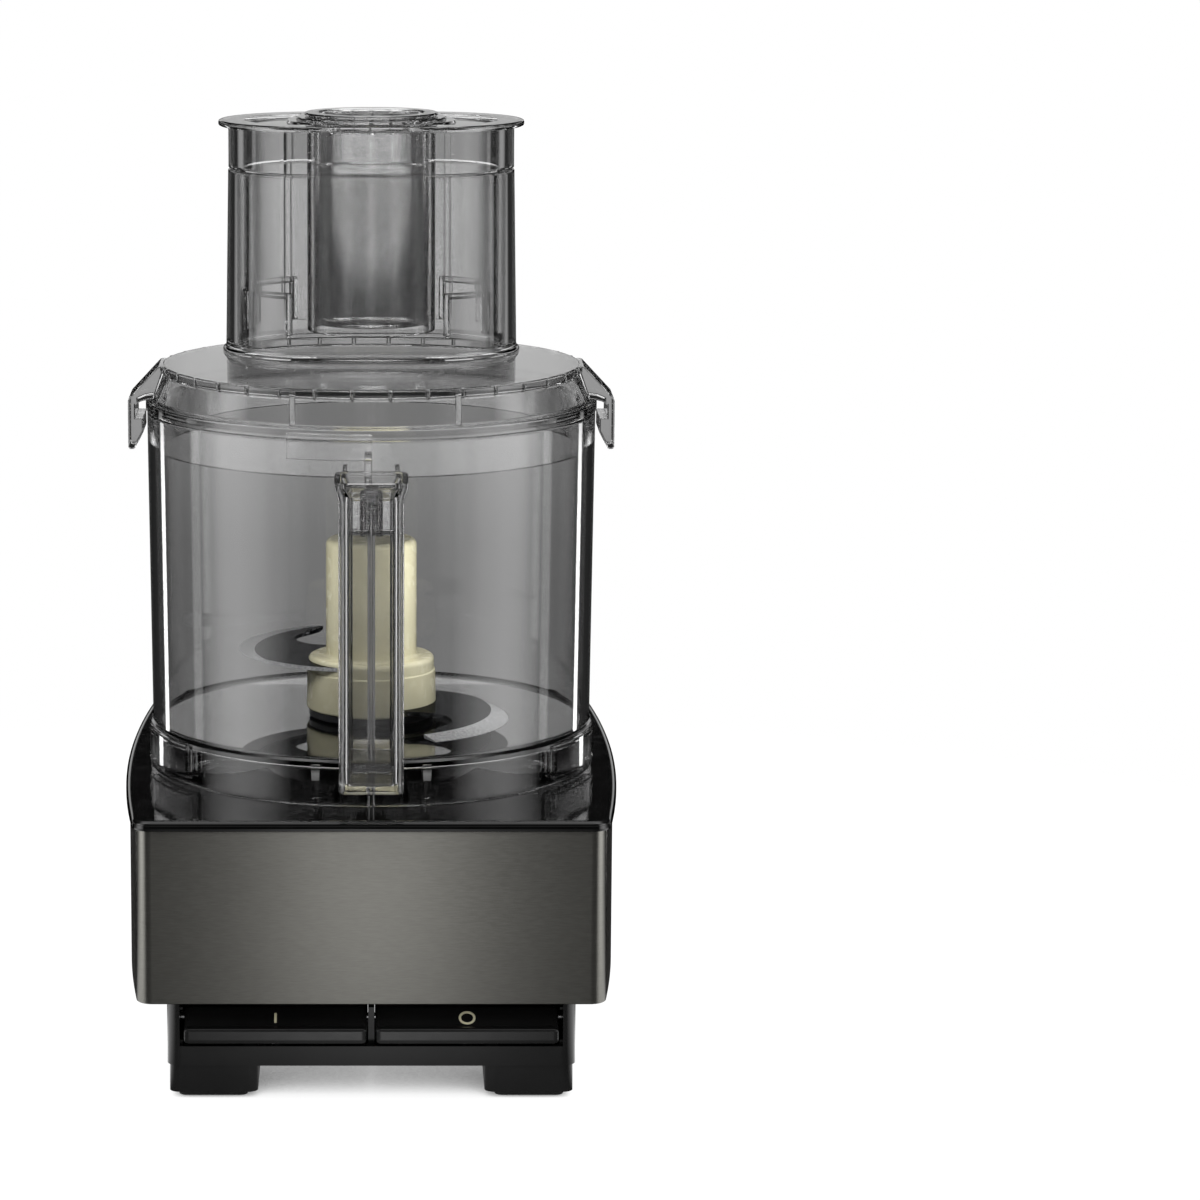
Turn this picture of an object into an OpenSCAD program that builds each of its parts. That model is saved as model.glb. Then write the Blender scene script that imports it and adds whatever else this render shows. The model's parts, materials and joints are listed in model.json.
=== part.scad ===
// Food processor: motor base, turn-lock work bowl, lid with a wide feed tube and two nested pushers.
// The origin is on the drive axis at the surface that the feet stand on.
// +Z is up and -Y is the front, where the handle and the two control levers are. Millimetres.

/* [Base] */
// Width across the deck at its widest
deck_w = 200.8; // [196:0.2:206]
// Distance from the drive axis to the deck's front edge
deck_front = 117; // [115:0.5:119]
// Distance from the drive axis to the deck's rear edge
deck_rear = 138; // [136:0.5:140]
// Height of the deck's flat top
deck_top = 114.6; // [113.8:0.2:115]
// Radius of the bulge along each side of the deck
side_r = 1050; // [900:10:1400]
// Radius of the deck's upright corners
corner_r = 8; // [7:0.5:10]
// Height of the steel band's top edge
band_top = 110.4; // [109:0.2:111]
// Height of the steel band's bottom edge
band_bottom = 41; // [40:0.5:42]
// Sheet thickness of the steel band
band_t = 1; // [0.8:0.1:1.2]

/* [Lower housing] */
// Width of the lower housing
housing_w = 161; // [158:1:164]
// Distance from the drive axis to the housing's front face
housing_front = 107; // [106:0.5:108]
// Distance from the drive axis to the housing's rear face
housing_rear = 128; // [126:0.5:130]
// Wall thickness of the moulded housings
wall = 2.5; // [2.2:0.1:2.8]
// Height of the underside between the legs
under_z = 13.6; // [13:0.2:14]
// Height of the rubber feet
foot_h = 2.6; // [2:0.2:3]

/* [Control levers] */
// Angle of the lever's sloping top
lever_slope = 24; // [20:1:26]
// Length of each lever along the front
lever_w = 72; // [70:0.5:72.5]
// Height of the lever's front face
lever_face = 6.5; // [6:0.5:7]
// Radius of the lever pivot rod
pivot_r = 1.5; // [1.4:0.1:1.6]

/* [Motor] */
// Side of the square stator stack
stator_w = 92; // [88:1:94]
// Height of the stator stack
stator_h = 36; // [32:1:38]
// Radius of the rotor
rotor_r = 29.4; // [29:0.1:29.6]
// Radius of the motor shaft
shaft_r = 5; // [4.9:0.05:5.02]

/* [Work bowl] */
// Outer radius of the bowl at its rim
bowl_r_top = 91.2; // [91:0.1:91.4]
// Outer radius of the bowl at its floor
bowl_r_low = 89.8; // [89.6:0.1:90]
// Wall thickness of the bowl
bowl_wall = 2.8; // [2.6:0.1:3]
// Height of the bowl's rim
rim_z = 259.7; // [259:0.1:259.8]
// Height of the bowl's floor inside
floor_z = 132.3; // [132:0.1:132.5]
// Outer radius of the centre tube in the bowl's floor
tube_r = 12.8; // [12.6:0.1:12.9]

/* [Handle] */
// Width of the handle
handle_w = 25; // [24:0.5:26]
// Distance from the drive axis to the handle's front face
handle_front = 138; // [137:0.5:139]
// Distance from the drive axis to the handle's rear face
handle_back = 108.5; // [108.2:0.1:108.6]
// Wall thickness of the handle
handle_wall = 2.5; // [2.2:0.1:2.8]

/* [Blade] */
// Radius of the hub's stem
stem_r = 18.6; // [18:0.1:19]
// Radius of the hub's skirt
skirt_r = 26.7; // [26:0.1:27]
// Height of the hub's top
hub_top = 206.3; // [205:0.1:207]
// Thickness of the blades
blade_t = 1.6; // [1.4:0.1:1.8]

/* [Lid] */
// Height of the lid's flat top
lid_top = 278.5; // [278:0.1:279]
// Radius of the lid's flat top
lid_r = 85; // [84.8:0.1:85.2]
// Height of the feed tube's rim
tube_top = 353.8; // [350:0.2:356]
// Radius of the feed tube's rounded ends
feed_r = 38.8; // [38.6:0.1:39]
// Distance from the feed tube's middle to the centre of each rounded end
feed_c = 19.6; // [19:0.1:20]
// Distance from the drive axis back to the feed tube's middle
feed_y = 41; // [40.8:0.1:41.2]

/* [Pushers] */
// Height of the large pusher's flange
flange_z = 371.5; // [370:0.5:373]
// Outer radius of the small feed tube inside the large pusher
small_r = 26.5; // [26:0.1:26.8]
// Height of the small pusher's lower end
small_low = 290; // [286:0.5:294]

/* [Hidden] */
$fn = 96;

eps = 0.01;
far = 400;                 // longer than the whole machine
fine = 1440;               // segments for the very large side arcs
deck_t = 3;                // thickness of the deck's top plate
band_in = 1.5;             // how far the band sits inside the deck's edge
spigot_in = band_in + band_t + 0.2;
carrier_t = 2.5;           // thickness of the frame that carries the band
leg_inner = 44.7;          // distance from the middle to each leg's inner face
leg_d = 42;                // depth of each leg
housing_r = 6;             // upright corner radius of the lower housing
plate_top = under_z + wall;
screw_places = [[-60, -40], [60, -40], [-60, 60], [60, 60]];
screw_r = 1.7;
gland_r = 6;               // radius of the cord gland's barrel
gland_bore_r = 3.75;
gland_x = 50;
gland_z = 27;
shelf_z = plate_top + 0.2; // underside of the lever shelf
lever_z = 30.1;            // height of the lever's front top edge
lever_front = 112;         // distance from the axis to the lever's front face
lever_back = 90;           // distance from the axis to the lever's rear end
lever_top = lever_z + 12 * tan(lever_slope);
lever_gap = 3.4;           // gap between the two levers
pivot_y = -97;
pivot_z = 31;
spring_x = lever_w / 2 + lever_gap / 2;
spring_y = -101.5;
motor_bolt = 38;           // distance of each motor bolt from the axis along X and Y
bolt_r = 2.5;
bolt_gap = 0.2;            // clearance around a motor bolt
slot_r = 3;
slot_pcd = 37;             // distance of each winding slot from the axis
stator_z = 50;
bracket_t = 4;
upper_z = 92;              // underside of the upper bracket
lower_z = 22;              // underside of the lower bracket
bearing_r = 13;
board_z = 56;              // underside of the control board
board_post_x = 84;         // distance of the board's posts from the middle
board_post_y = [-96, -60]; // places of the board's posts from front to back
capacitor_r = 14;
capacitor_top = 70;
foot_x = 62.4;             // distance of each foot's centre from the middle
leg_mid = 22;              // distance of each leg's centre from the housing's face
lug_angles = [25, 155, 205, 335];
lug_r = 92.6;              // outer radius of the lugs on the bowl's skirt
lug_low = 118;
hook_r = 98.4;             // outermost radius of the lid's hooks
hook_low = 244.8;
claw_z = 257.6;            // height of the hook's claw, under the bowl's rim
tab_left = -33;            // left end of the lid's front tab
notch = [16.2, -42.9];     // centre of the hollow in the blade's inner edge
notch_r = 16.2;
bearing_h = 9;
run_gap = 0.05;            // radial clearance of a running fit
column_r = 9.6;
column_top = 172;
shaft_top = 198;
seat_top = floor_z - bowl_wall - 0.2;
cleat_z = 122;             // underside of the deck's locking cleats
cleat_angles = [20, 160, 200, 340];
skirt_bottom = deck_top + 0.1;
rod_y = -110.5;
rod_r = 1.5;
rod_top = 245;
rod_bottom = 119.2;
button_top = rod_bottom - 0.2;
handle_low = 130;
handle_top = 250.6;
arm_low = 226;
hub_low = 136.1;
hub_step = 157.8;
ring_low = floor_z + 0.6;
socket_z = 184;            // height where the hub's bore narrows to the drive socket
flat_x = 4.2;              // distance from the axis to the shaft's drive flats
lower_blade_z = 137.4;
upper_blade_z = 154.6;
lid_t = 3;
lid_flange_z = 260;
lid_low_r = 85;            // inner radius of the lid's plug
lid_flange_r = 91.7;
lid_low = 244.6;
feed_wall = 2.6;
pusher_r = feed_r - feed_wall - 0.7;
pusher_wall = 2.2;
pusher_low = 287;
rim_gap = 0.3;
small_top = flange_z + 5.4;
flange_t = 2.4;           // thickness of the pusher's flange
black = [0.06, 0.06, 0.065];
smoke = [0.45, 0.46, 0.48, 0.45];
ivory = [0.88, 0.85, 0.70];
steel = [0.72, 0.72, 0.73];
zinc = [0.6, 0.6, 0.62];

// Rectangle centred on the origin with rounded corners
module round_rect(w, d, r) {
  square([w - 2 * r, d], center = true);
  square([w, d - 2 * r], center = true);
  for (x = [-1, 1], y = [-1, 1])
    translate([x * (w / 2 - r), y * (d / 2 - r)]) circle(r);
}

// Rounded rectangle given by its limits
module round_span(x0, x1, y0, y1, r) {
  translate([(x0 + x1) / 2, (y0 + y1) / 2]) round_rect(x1 - x0, y1 - y0, r);
}

// Outline with two parallel sides and round ends, centred on the feed tube
module oval(r) {
  translate([0, feed_y]) {
    square([2 * feed_c, 2 * r], center = true);
    for (x = [-1, 1]) translate([x * feed_c, 0]) circle(r);
  }
}

// Plan of the machine's base: bulging sides and round corners, drawn in by inset
module base_outline(inset) {
  r = corner_r - inset;
  big = side_r - inset;
  mid = (deck_rear - deck_front) / 2;
  half = (deck_rear + deck_front) / 2 - inset;
  side_c = side_r - deck_w / 2;
  corner_x = sqrt(pow(big - r, 2) - pow(half - r, 2)) - side_c;
  translate([0, mid]) {
    intersection() {
      square([far, 2 * (half - r)], center = true);
      translate([side_c, 0]) circle(big, $fn = fine);
      translate([-side_c, 0]) circle(big, $fn = fine);
    }
    square([2 * corner_x, 2 * half], center = true);
    for (x = [-1, 1], y = [-1, 1]) translate([x * corner_x, y * (half - r)]) circle(r);
  }
}

// Plan of the lower housing, drawn in by inset
module housing_outline(inset) {
  round_span(-housing_w / 2 + inset, housing_w / 2 - inset,
    -housing_front + inset, housing_rear - inset, housing_r - inset);
}

// Plan of the four legs, drawn in by inset
module legs_outline(inset) {
  x1 = housing_w / 2 - 1;
  for (x = [-1, 1]) {
    round_span(x > 0 ? leg_inner + inset : -x1 + inset, x > 0 ? x1 - inset : -leg_inner - inset,
      -housing_front + 1 + inset, -housing_front + 1 + leg_d - inset, 4 - inset / 2);
    round_span(x > 0 ? leg_inner + inset : -x1 + inset, x > 0 ? x1 - inset : -leg_inner - inset,
      housing_rear - 1 - leg_d + inset, housing_rear - 1 - inset, 4 - inset / 2);
  }
}

// Washer or bush standing on z
module ring(r_out, r_in, z0, z1) {
  translate([0, 0, z0]) difference() {
    cylinder(r = r_out, h = z1 - z0);
    translate([0, 0, -1]) cylinder(r = r_in, h = z1 - z0 + 2);
  }
}

// Solid rod standing on z
module rod(r, z0, z1) {
  translate([0, 0, z0]) cylinder(r = r, h = z1 - z0);
}

// Box given by its limits
module span_box(x0, x1, y0, y1, z0, z1) {
  translate([x0, y0, z0]) cube([x1 - x0, y1 - y0, z1 - z0]);
}

// Part of a ring between two radii, centred on an angle
module arc_block(r_in, r_out, z0, z1, angle, sweep) {
  rotate(angle - sweep / 2) rotate_extrude(angle = sweep)
    translate([r_in, z0]) square([r_out - r_in, z1 - z0]);
}

// Radius of the bowl's conical outer wall at a height
function bowl_r(z) = bowl_r_low + (bowl_r_top - bowl_r_low) * (z - floor_z) / (rim_z - floor_z);

// Point on a coil of n turns: angle in degrees to x, y, z
function coil_point(r, z0, h, turns, t) = [r * cos(360 * turns * t), r * sin(360 * turns * t), z0 + h * t];

// Compression spring as one swept wire
module coil_spring(r, wire, z0, h, turns) {
  steps = turns * 12;
  sides = 8;
  points = [for (i = [0:steps], j = [0:sides - 1])
    let (t = i / steps, c = coil_point(r, z0, h, turns, t), a = 360 * turns * t, b = 360 * j / sides)
      [c[0] + wire * cos(b) * cos(a), c[1] + wire * cos(b) * sin(a), c[2] + wire * sin(b)]];
  walls = [for (i = [0:steps - 1], j = [0:sides - 1])
    let (k = (j + 1) % sides)
      [i * sides + j, i * sides + k, (i + 1) * sides + k, (i + 1) * sides + j]];
  first = [[for (j = [0:sides - 1]) sides - 1 - j]];
  last = [[for (j = [0:sides - 1]) steps * sides + j]];
  polyhedron(points = points, faces = concat(walls, first, last), convexity = 6);
}

// ---- Base --------------------------------------------------------------------------------

// Glossy deck that closes the base and carries the bowl
module top_deck() color(black) difference() {
  union() {
    translate([0, 0, band_top]) linear_extrude(deck_top - band_top) base_outline(0);
    translate([0, 0, band_top - 7]) linear_extrude(8) base_outline(spigot_in);
    ring(70, 66, deck_top - eps, seat_top);
    for (x = [-1, 1]) span_box(x * 11.2 - 1, x * 11.2 + 1, -108, -96, 82, deck_top - 1);
    for (a = cleat_angles) arc_block(69, 76, cleat_z, cleat_z + 3, a, 20);
  }
  translate([0, 0, band_top - 8]) linear_extrude(8 + deck_top - band_top - deck_t)
    difference() {
      base_outline(spigot_in + 1.8);
      for (x = [-1, 1], y = [-1, 1]) translate([x * motor_bolt, y * motor_bolt]) circle(7);
      for (x = [-1, 1]) translate([x * 11.2, -102]) square([2, 12], center = true);
    }
  for (x = [-1, 1], y = [-1, 1])
    translate([x * motor_bolt, y * motor_bolt, 0]) cylinder(r = bolt_r, h = 110.4);
  rod(column_r, 90, 130);
  translate([0, rod_y, 90]) cylinder(r = rod_r + run_gap, h = 40);
}

// Brushed steel wrap around the base
module steel_band() color(steel)
  translate([0, 0, band_bottom]) linear_extrude(band_top - band_bottom) difference() {
    base_outline(band_in);
    base_outline(band_in + band_t);
  }

// Flat frame inside the band's foot that carries the band and the control board
module band_carrier() color(black) {
  translate([0, 0, band_bottom]) linear_extrude(carrier_t) difference() {
    base_outline(spigot_in);
    housing_outline(wall);
  }
  for (x = [-1, 1], y = board_post_y) translate([x * board_post_x, y, 0])
    rod(3.5, band_bottom + carrier_t - eps, board_z);
}

// Moulded lower housing with the four legs and the lever opening
module lower_housing() color(black) difference() {
  union() {
    translate([0, 0, under_z]) linear_extrude(band_bottom - under_z) housing_outline(0);
    translate([0, 0, foot_h]) linear_extrude(20) legs_outline(0);
  }
  difference() {
    translate([0, 0, under_z - 1]) linear_extrude(40) housing_outline(wall);
    lever_shelf();
    for (x = [-1, 1]) lever_ear(x);
    lever_ear(0);
    translate([0, 0, under_z - 2]) linear_extrude(11.6) difference() {
      legs_outline(0);
      legs_outline(wall);
    }
  }
  translate([0, 0, foot_h + wall]) linear_extrude(30) legs_outline(wall);
  span_box(-spring_x * 2, spring_x * 2, -housing_front - 1, -housing_front + wall + 1,
    21.5, band_bottom - 2);
  translate([-far / 2, pivot_y, pivot_z]) rotate([0, 90, 0]) cylinder(r = pivot_r, h = far);
  gland_hole(gland_r);
  for (i = [-5:2]) span_box(i * 12 - 2, i * 12 + 2, housing_rear - 10, housing_rear + 5, 33, 38);
}

// Ledge inside the housing that the lever springs stand on
module lever_shelf() span_box(-far / 4, far / 4, -housing_front, -86, shelf_z, shelf_z + 2);

// Upright ear that carries the lever pivot rod; side is -1, 0 or 1
module lever_ear(side) {
  x = side * (2 * spring_x - 0.1);
  w = side == 0 ? lever_gap / 2 - 0.5 : 1;
  span_box(x - w, x + w, pivot_y - 5, pivot_y + 11, shelf_z, pivot_z + 5);
}

// Cover under the housing, with ventilation slots
module base_plate() color(black) difference() {
  translate([0, 0, under_z]) linear_extrude(wall) difference() {
    housing_outline(wall + 0.1);
    legs_outline(-0.1);
    for (i = [-4:4], y = [-1, 1]) translate([i * 9 - 1.5, 30 * y - 14]) square([3, 28]);
  }
  for (p = screw_places) translate([p[0], p[1], under_z - 1]) cylinder(r = screw_r, h = wall + 2);
}

// Screws that hold the base plate; their heads lie under it
module base_screws() color(zinc) for (p = screw_places) translate([p[0], p[1], 0]) {
  rod(screw_r, under_z - 0.5, under_z + 9);
  difference() {
    rod(3.4, under_z - 2.4, under_z);
    translate([-2.6, -0.5, under_z - 3]) cube([5.2, 1, 1.6]);
    translate([-0.5, -2.6, under_z - 3]) cube([1, 5.2, 1.6]);
  }
}

// Rubber foot under one leg; sx and sy say which
module foot(sx, sy) color([0.12, 0.12, 0.12]) linear_extrude(foot_h)
  translate([sx * foot_x, sy > 0 ? housing_rear - leg_mid : -housing_front + leg_mid])
    round_rect(27.3, 34, 3);

// Fixed tube around the shaft, up through the bowl
module drive_column() color(black) difference() {
  union() {
    rod(column_r, 105, column_top);
    ring(16, column_r - 1, deck_top, deck_top + 3);
  }
  rod(shaft_r + 0.6, 90, column_top + 1);
  rod(8, column_top - 4, column_top + 1);
}

// Lip seal around the shaft at the top of the column
module shaft_seal() color([0.15, 0.15, 0.15]) ring(8, shaft_r + run_gap, column_top - 4, column_top + 1);

// ---- Motor -------------------------------------------------------------------------------

// Laminated stator stack with twelve winding slots
module motor_stator() color(zinc) translate([0, 0, stator_z]) difference() {
  linear_extrude(stator_h) difference() {
    round_rect(stator_w, stator_w, 12);
    circle(rotor_r + 0.6);
    for (i = [0:11]) rotate(i * 30) translate([slot_pcd, 0]) circle(slot_r);
    for (x = [-1, 1], y = [-1, 1])
      translate([x * motor_bolt, y * motor_bolt]) circle(bolt_r + bolt_gap);
  }
}

// Copper windings: bars through the slots and a bundle at each end
module stator_windings() color([0.72, 0.38, 0.16]) {
  for (i = [0:11]) rotate(i * 30) translate([slot_pcd, 0, 0])
    rod(slot_r - 0.1, stator_z - 1, stator_z + stator_h + 1);
  for (z = [stator_z - 5.2, stator_z + stator_h + 0.2])
    translate([0, 0, z]) rotate_extrude() translate([slot_pcd, 2.5]) round_rect(9, 5, 2);
}

// Square motor end plate with a bearing pocket
module end_bracket(z0, pocket_z, boss_z0, boss_z1) color(zinc) difference() {
  union() {
    translate([0, 0, z0]) linear_extrude(bracket_t) round_rect(stator_w, stator_w, 10);
    rod(17, boss_z0, boss_z1);
  }
  rod(bearing_r, pocket_z, pocket_z + bearing_h);
  rod(shaft_r + 1.5, z0 - 10, z0 + 20);
  for (x = [-1, 1], y = [-1, 1])
    translate([x * motor_bolt, y * motor_bolt, z0 - 1]) cylinder(r = bolt_r + bolt_gap, h = bracket_t + 2);
}

module upper_bracket() end_bracket(upper_z, 95, upper_z, 103);
module lower_bracket() end_bracket(lower_z, 24, lower_z, 30.5);
module upper_bearing() color(steel) ring(bearing_r, shaft_r + run_gap, 95, 95 + bearing_h);
module lower_bearing() color(steel) ring(bearing_r, shaft_r + run_gap, 24, 24 + bearing_h);

// Long bolts that hang the motor from the deck
module motor_bolts() color(zinc) for (x = [-1, 1], y = [-1, 1])
  translate([x * motor_bolt, y * motor_bolt, 0]) {
    rod(bolt_r, lower_z - 2, 110);
    translate([0, 0, lower_z - 3.5]) cylinder(r = 4.5, h = 3.5);
  }

// Spacer tubes between the brackets and the stator
module motor_spacers() color(zinc) for (x = [-1, 1], y = [-1, 1])
  translate([x * motor_bolt, y * motor_bolt, 0]) {
    ring(5, bolt_r + bolt_gap, lower_z + bracket_t, stator_z);
    ring(5, bolt_r + bolt_gap, stator_z + stator_h, upper_z);
  }

// Turned steel shaft with two drive flats at its upper end
module motor_shaft() color(steel) difference() {
  union() {
    rod(shaft_r, 19, shaft_top - 1);
    translate([0, 0, shaft_top - 1]) cylinder(r1 = shaft_r, r2 = shaft_r - 1, h = 1);
  }
  for (s = [-1, 1]) translate([s * (flat_x + 5) - 5, -10, socket_z + 1]) cube([10, 20, 30]);
}

module rotor_core() color(zinc) ring(rotor_r, shaft_r, stator_z - 3, stator_z + stator_h + 3);

// Radial fan under the rotor
module cooling_fan() color([0.2, 0.2, 0.22]) {
  ring(9, shaft_r, 34, 43);
  ring(38, 9 - eps, 34, 35.5);
  for (i = [0:8]) rotate(i * 40) translate([8.5, -0.8, 34]) cube([29, 1.6, 9]);
}

// Motor run capacitor, standing in the right rear leg
module run_capacitor() color([0.75, 0.76, 0.78]) translate([foot_x - 0.3, housing_rear - leg_mid, 0]) {
  rod(capacitor_r, foot_h + wall, capacitor_top);
  for (x = [-1, 1]) translate([x * 6 - 3, -0.5, capacitor_top]) cube([6, 1, 8]);
}

// ---- Controls ----------------------------------------------------------------------------

// Printed circuit board in front of the motor
module control_board() color([0.1, 0.35, 0.2]) {
  span_box(-88, 88, -101, -56, board_z, board_z + 1.6);
  for (x = [-40, -14, 14, 40]) span_box(x - 5, x + 5, -78, -66, board_z + 1.6, board_z + 10);
}

// Microswitch with its plunger, above one lever's rear end
module micro_switch(x) color([0.25, 0.1, 0.1]) {
  span_box(x - 10, x + 10, -96, -86, 44.5, board_z);
  translate([x, -lever_back - 1, 42]) cylinder(r = 1.2, h = 3);
}

module on_switch() micro_switch(-spring_x);
module pulse_switch() micro_switch(spring_x);

// Switch under the deck that the interlock button presses
module interlock_switch() color([0.25, 0.1, 0.1]) {
  span_box(-10, 10, -108, -96, 82, 96);
  translate([0, -105, 96]) cylinder(r = 1.2, h = 1.5);
}

// Button in the deck that the rod in the handle presses
module interlock_button() color(black) {
  translate([0, rod_y, 0]) rod(rod_r, 103, button_top);
  span_box(-3, 3, -112, -102, 102, 104);
}

// Steel rod that both levers turn on
module lever_pivot_rod() color(steel) translate([-2 * spring_x - 1, pivot_y, pivot_z])
  rotate([0, 90, 0]) cylinder(r = pivot_r, h = 4 * spring_x + 2);

// Side profile of a lever, from its sloping top to its open underside
module lever_profile() polygon([[-lever_front, lever_z], [-lever_front, lever_z - lever_face],
  [-lever_front + 5, lever_z - lever_face], [-lever_back, lever_z - 4],
  [-lever_back, lever_top], [-lever_front + 12, lever_top]]);

// Hollow inside of a lever
module lever_hollow() polygon([[-lever_front + 7, lever_z + 0.5], [-lever_front + 7, 0],
  [-lever_back - 2, 0], [-lever_back - 2, lever_top - 2], [-lever_front + 13, lever_top - 2]]);

// Control lever on one side of the middle; side is -1 or 1
module lever(side) color(black) translate([side * spring_x, 0, 0]) difference() {
  translate([-lever_w / 2, 0, 0]) rotate([90, 0, 90]) linear_extrude(lever_w) lever_profile();
  translate([-lever_w / 2 + 2, 0, 0]) rotate([90, 0, 90]) linear_extrude(lever_w - 4) lever_hollow();
  translate([-far / 2, pivot_y, pivot_z]) rotate([0, 90, 0]) cylinder(r = pivot_r + run_gap, h = far);
}

module on_lever() lever(-1);
module off_pulse_lever() lever(1);

// Spring under one lever
module lever_spring(side) color(steel) translate([side * spring_x, spring_y, 0])
  coil_spring(2.2, 0.4, shelf_z + 2.5, 11.4, 6);

// Rod along the cord gland's axis, starting inside the housing
module gland_rod(r, y0, y1) translate([gland_x, y0, gland_z])
  rotate([-90, 0, 0]) cylinder(r = r, h = y1 - y0);

module gland_hole(r) gland_rod(r, housing_rear - 8, housing_rear + 20);

// Bush at the rear that the supply cord passes through
module cord_gland() color([0.08, 0.08, 0.08]) difference() {
  union() {
    gland_rod(gland_r + 2.5, housing_rear, housing_rear + 3);
    gland_rod(gland_r, housing_rear - 5, housing_rear + 8);
  }
  gland_hole(gland_bore_r);
}

// ---- Blade -------------------------------------------------------------------------------

// Plan of one sickle blade: an outer arc, a blunt tip and a round hollow, joined to the hub
module blade_outline() {
  difference() {
    intersection() {
      translate([2.8, -29.5]) circle(52.5);
      polygon([[14, -20], [0, 0], [0, 26], [60, 26], [60, -90], [28.5, -90], [22.2, -63.2],
        [27.1, -54.9], notch]);
    }
    translate(notch) circle(notch_r);
  }
  circle(skirt_r - 3);
}

module blade_at(z) color(steel) translate([0, 0, z]) linear_extrude(blade_t) difference() {
  blade_outline();
  circle(tube_r + 3);
}

module lower_blade() blade_at(lower_blade_z);
module upper_blade() rotate(180) blade_at(upper_blade_z);

// Moulded hub: a wide skirt that holds the blades and a tall stem with the drive socket
module blade_hub() color(ivory) difference() {
  union() {
    rod(skirt_r, hub_low, hub_step - 2);
    translate([0, 0, hub_step - 2 - eps]) cylinder(r1 = skirt_r, r2 = skirt_r - 2, h = 2 + eps);
    rod(stem_r, hub_step - eps, hub_top - 3);
    translate([0, 0, hub_top - 3 - eps]) cylinder(r1 = stem_r, r2 = stem_r - 3, h = 3 + eps);
  }
  rod(tube_r + 0.8, hub_low - 1, socket_z);
  difference() {
    rod(shaft_r + run_gap, socket_z - 1, shaft_top + 1);
    for (s = [-1, 1])
      translate([s * (flat_x + run_gap + 5) - 5, -10, socket_z + 1.2]) cube([10, 20, 30]);
  }
  lower_blade();
  upper_blade();
}

// Dark ring that closes the hub's underside
module hub_ring() color([0.2, 0.2, 0.21]) ring(25.6, tube_r + 0.8, ring_low, hub_low);

// ---- Bowl --------------------------------------------------------------------------------

// Clear bowl with its floor, centre tube, skirt and four locking tabs
module work_bowl() color(smoke) {
  difference() {
    union() {
      translate([0, 0, floor_z]) cylinder(r1 = bowl_r_low, r2 = bowl_r_top, h = rim_z - floor_z);
      rod(bowl_r_low, floor_z - bowl_wall, floor_z + eps);
      ring(90.9, 88.1, skirt_bottom, floor_z - 0.3);
    }
    translate([0, 0, floor_z]) cylinder(r1 = bowl_r_low - bowl_wall, r2 = bowl_r_top - bowl_wall,
      h = rim_z - floor_z + eps);
    rod(tube_r - 2.4, floor_z - 10, floor_z + 10);
  }
  ring(tube_r, tube_r - 2.4, floor_z - bowl_wall, socket_z - 2);
  for (a = cleat_angles) difference() {
    arc_block(71.5, 88.5, cleat_z - 4, cleat_z - 0.5, a, 20);
    arc_block(73, 86, cleat_z - 2.5, cleat_z, a, 16);
  }
  for (a = lug_angles) skirt_lug(a);
  for (x = [-1, 1]) bowl_rib(x * 22);
}

// Hollow box-like lug outside one locking tab
module skirt_lug(a) difference() {
  arc_block(90.4, lug_r, lug_low, floor_z - 1, a, 26);
  arc_block(90, lug_r - 0.9, lug_low - 1, floor_z - 2, a, 23);
}

// Tapered rib with a small square foot, on the front of the skirt
module bowl_rib(x) {
  y = -sqrt(90.9 * 90.9 - x * x);
  difference() {
    union() {
      span_box(x - 0.8, x + 0.8, y - 1.6, y + 1, skirt_bottom + 3, floor_z - 0.5);
      span_box(x - 1.6, x + 1.6, y - 2.2, y + 1, skirt_bottom, skirt_bottom + 3);
    }
    rod(90, 100, 140);
  }
}

// Hollow clear handle: open funnel on top, guide for the rod in its rear wall
module bowl_handle() color(smoke) difference() {
  union() {
    translate([0, 0, handle_low]) linear_extrude(handle_top - handle_low)
      round_span(-handle_w / 2, handle_w / 2, -handle_front, -handle_back, 3.5);
    span_box(-11, 11, -handle_back - 1, -80, arm_low, handle_top);
    span_box(-11, 11, -handle_back - 1, -80, handle_low, 142);
    span_box(-14, 14, -handle_front + 0.6, -handle_back, handle_top - 4, handle_top);
    span_box(-4.5, 4.5, -116, -handle_back, arm_low, 240);
  }
  difference() {
    translate([0, 0, handle_low + 3]) linear_extrude(far)
      round_span(-handle_w / 2 + handle_wall, handle_w / 2 - handle_wall,
        -handle_front + handle_wall, -handle_back - 4, 1.5);
    span_box(-4.5, 4.5, -116, -handle_back, arm_low, 240);
  }
  span_box(-9, 9, -handle_back - 5, -80, 240, far);
  cylinder(r1 = bowl_r(0), r2 = bowl_r(far), h = far);
  rod(90.9, 100, floor_z - 0.3);
  translate([0, rod_y, 0]) rod(rod_r + run_gap, 100, 260);
  translate([0, rod_y, 0]) rod(3.4, 230, 260);
}

// Clear rod that carries the lid's push down to the base
module interlock_rod() color(smoke) translate([0, rod_y, 0]) {
  rod(rod_r, rod_bottom, rod_top);
  rod(2.9, rod_top - 4, rod_top);
}

module rod_spring() color(steel) translate([0, rod_y, 0]) coil_spring(2.3, 0.35, 230.4, 10.2, 6);

// ---- Lid ---------------------------------------------------------------------------------

// Hook at the lid's side: slopes down and out, with a claw below a pocket for the bowl's rim
module lid_hook(w) rotate([90, 0, 0]) translate([0, 0, -w / 2]) linear_extrude(w)
  polygon([[82, lid_top], [86, lid_top], [hook_r, 265.2], [hook_r, hook_low], [hook_r - 2.6, hook_low],
    [92, 251.5], [92, claw_z], [hook_r - 3, claw_z], [hook_r - 3, 263.5], [88, 263.5]]);

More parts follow.
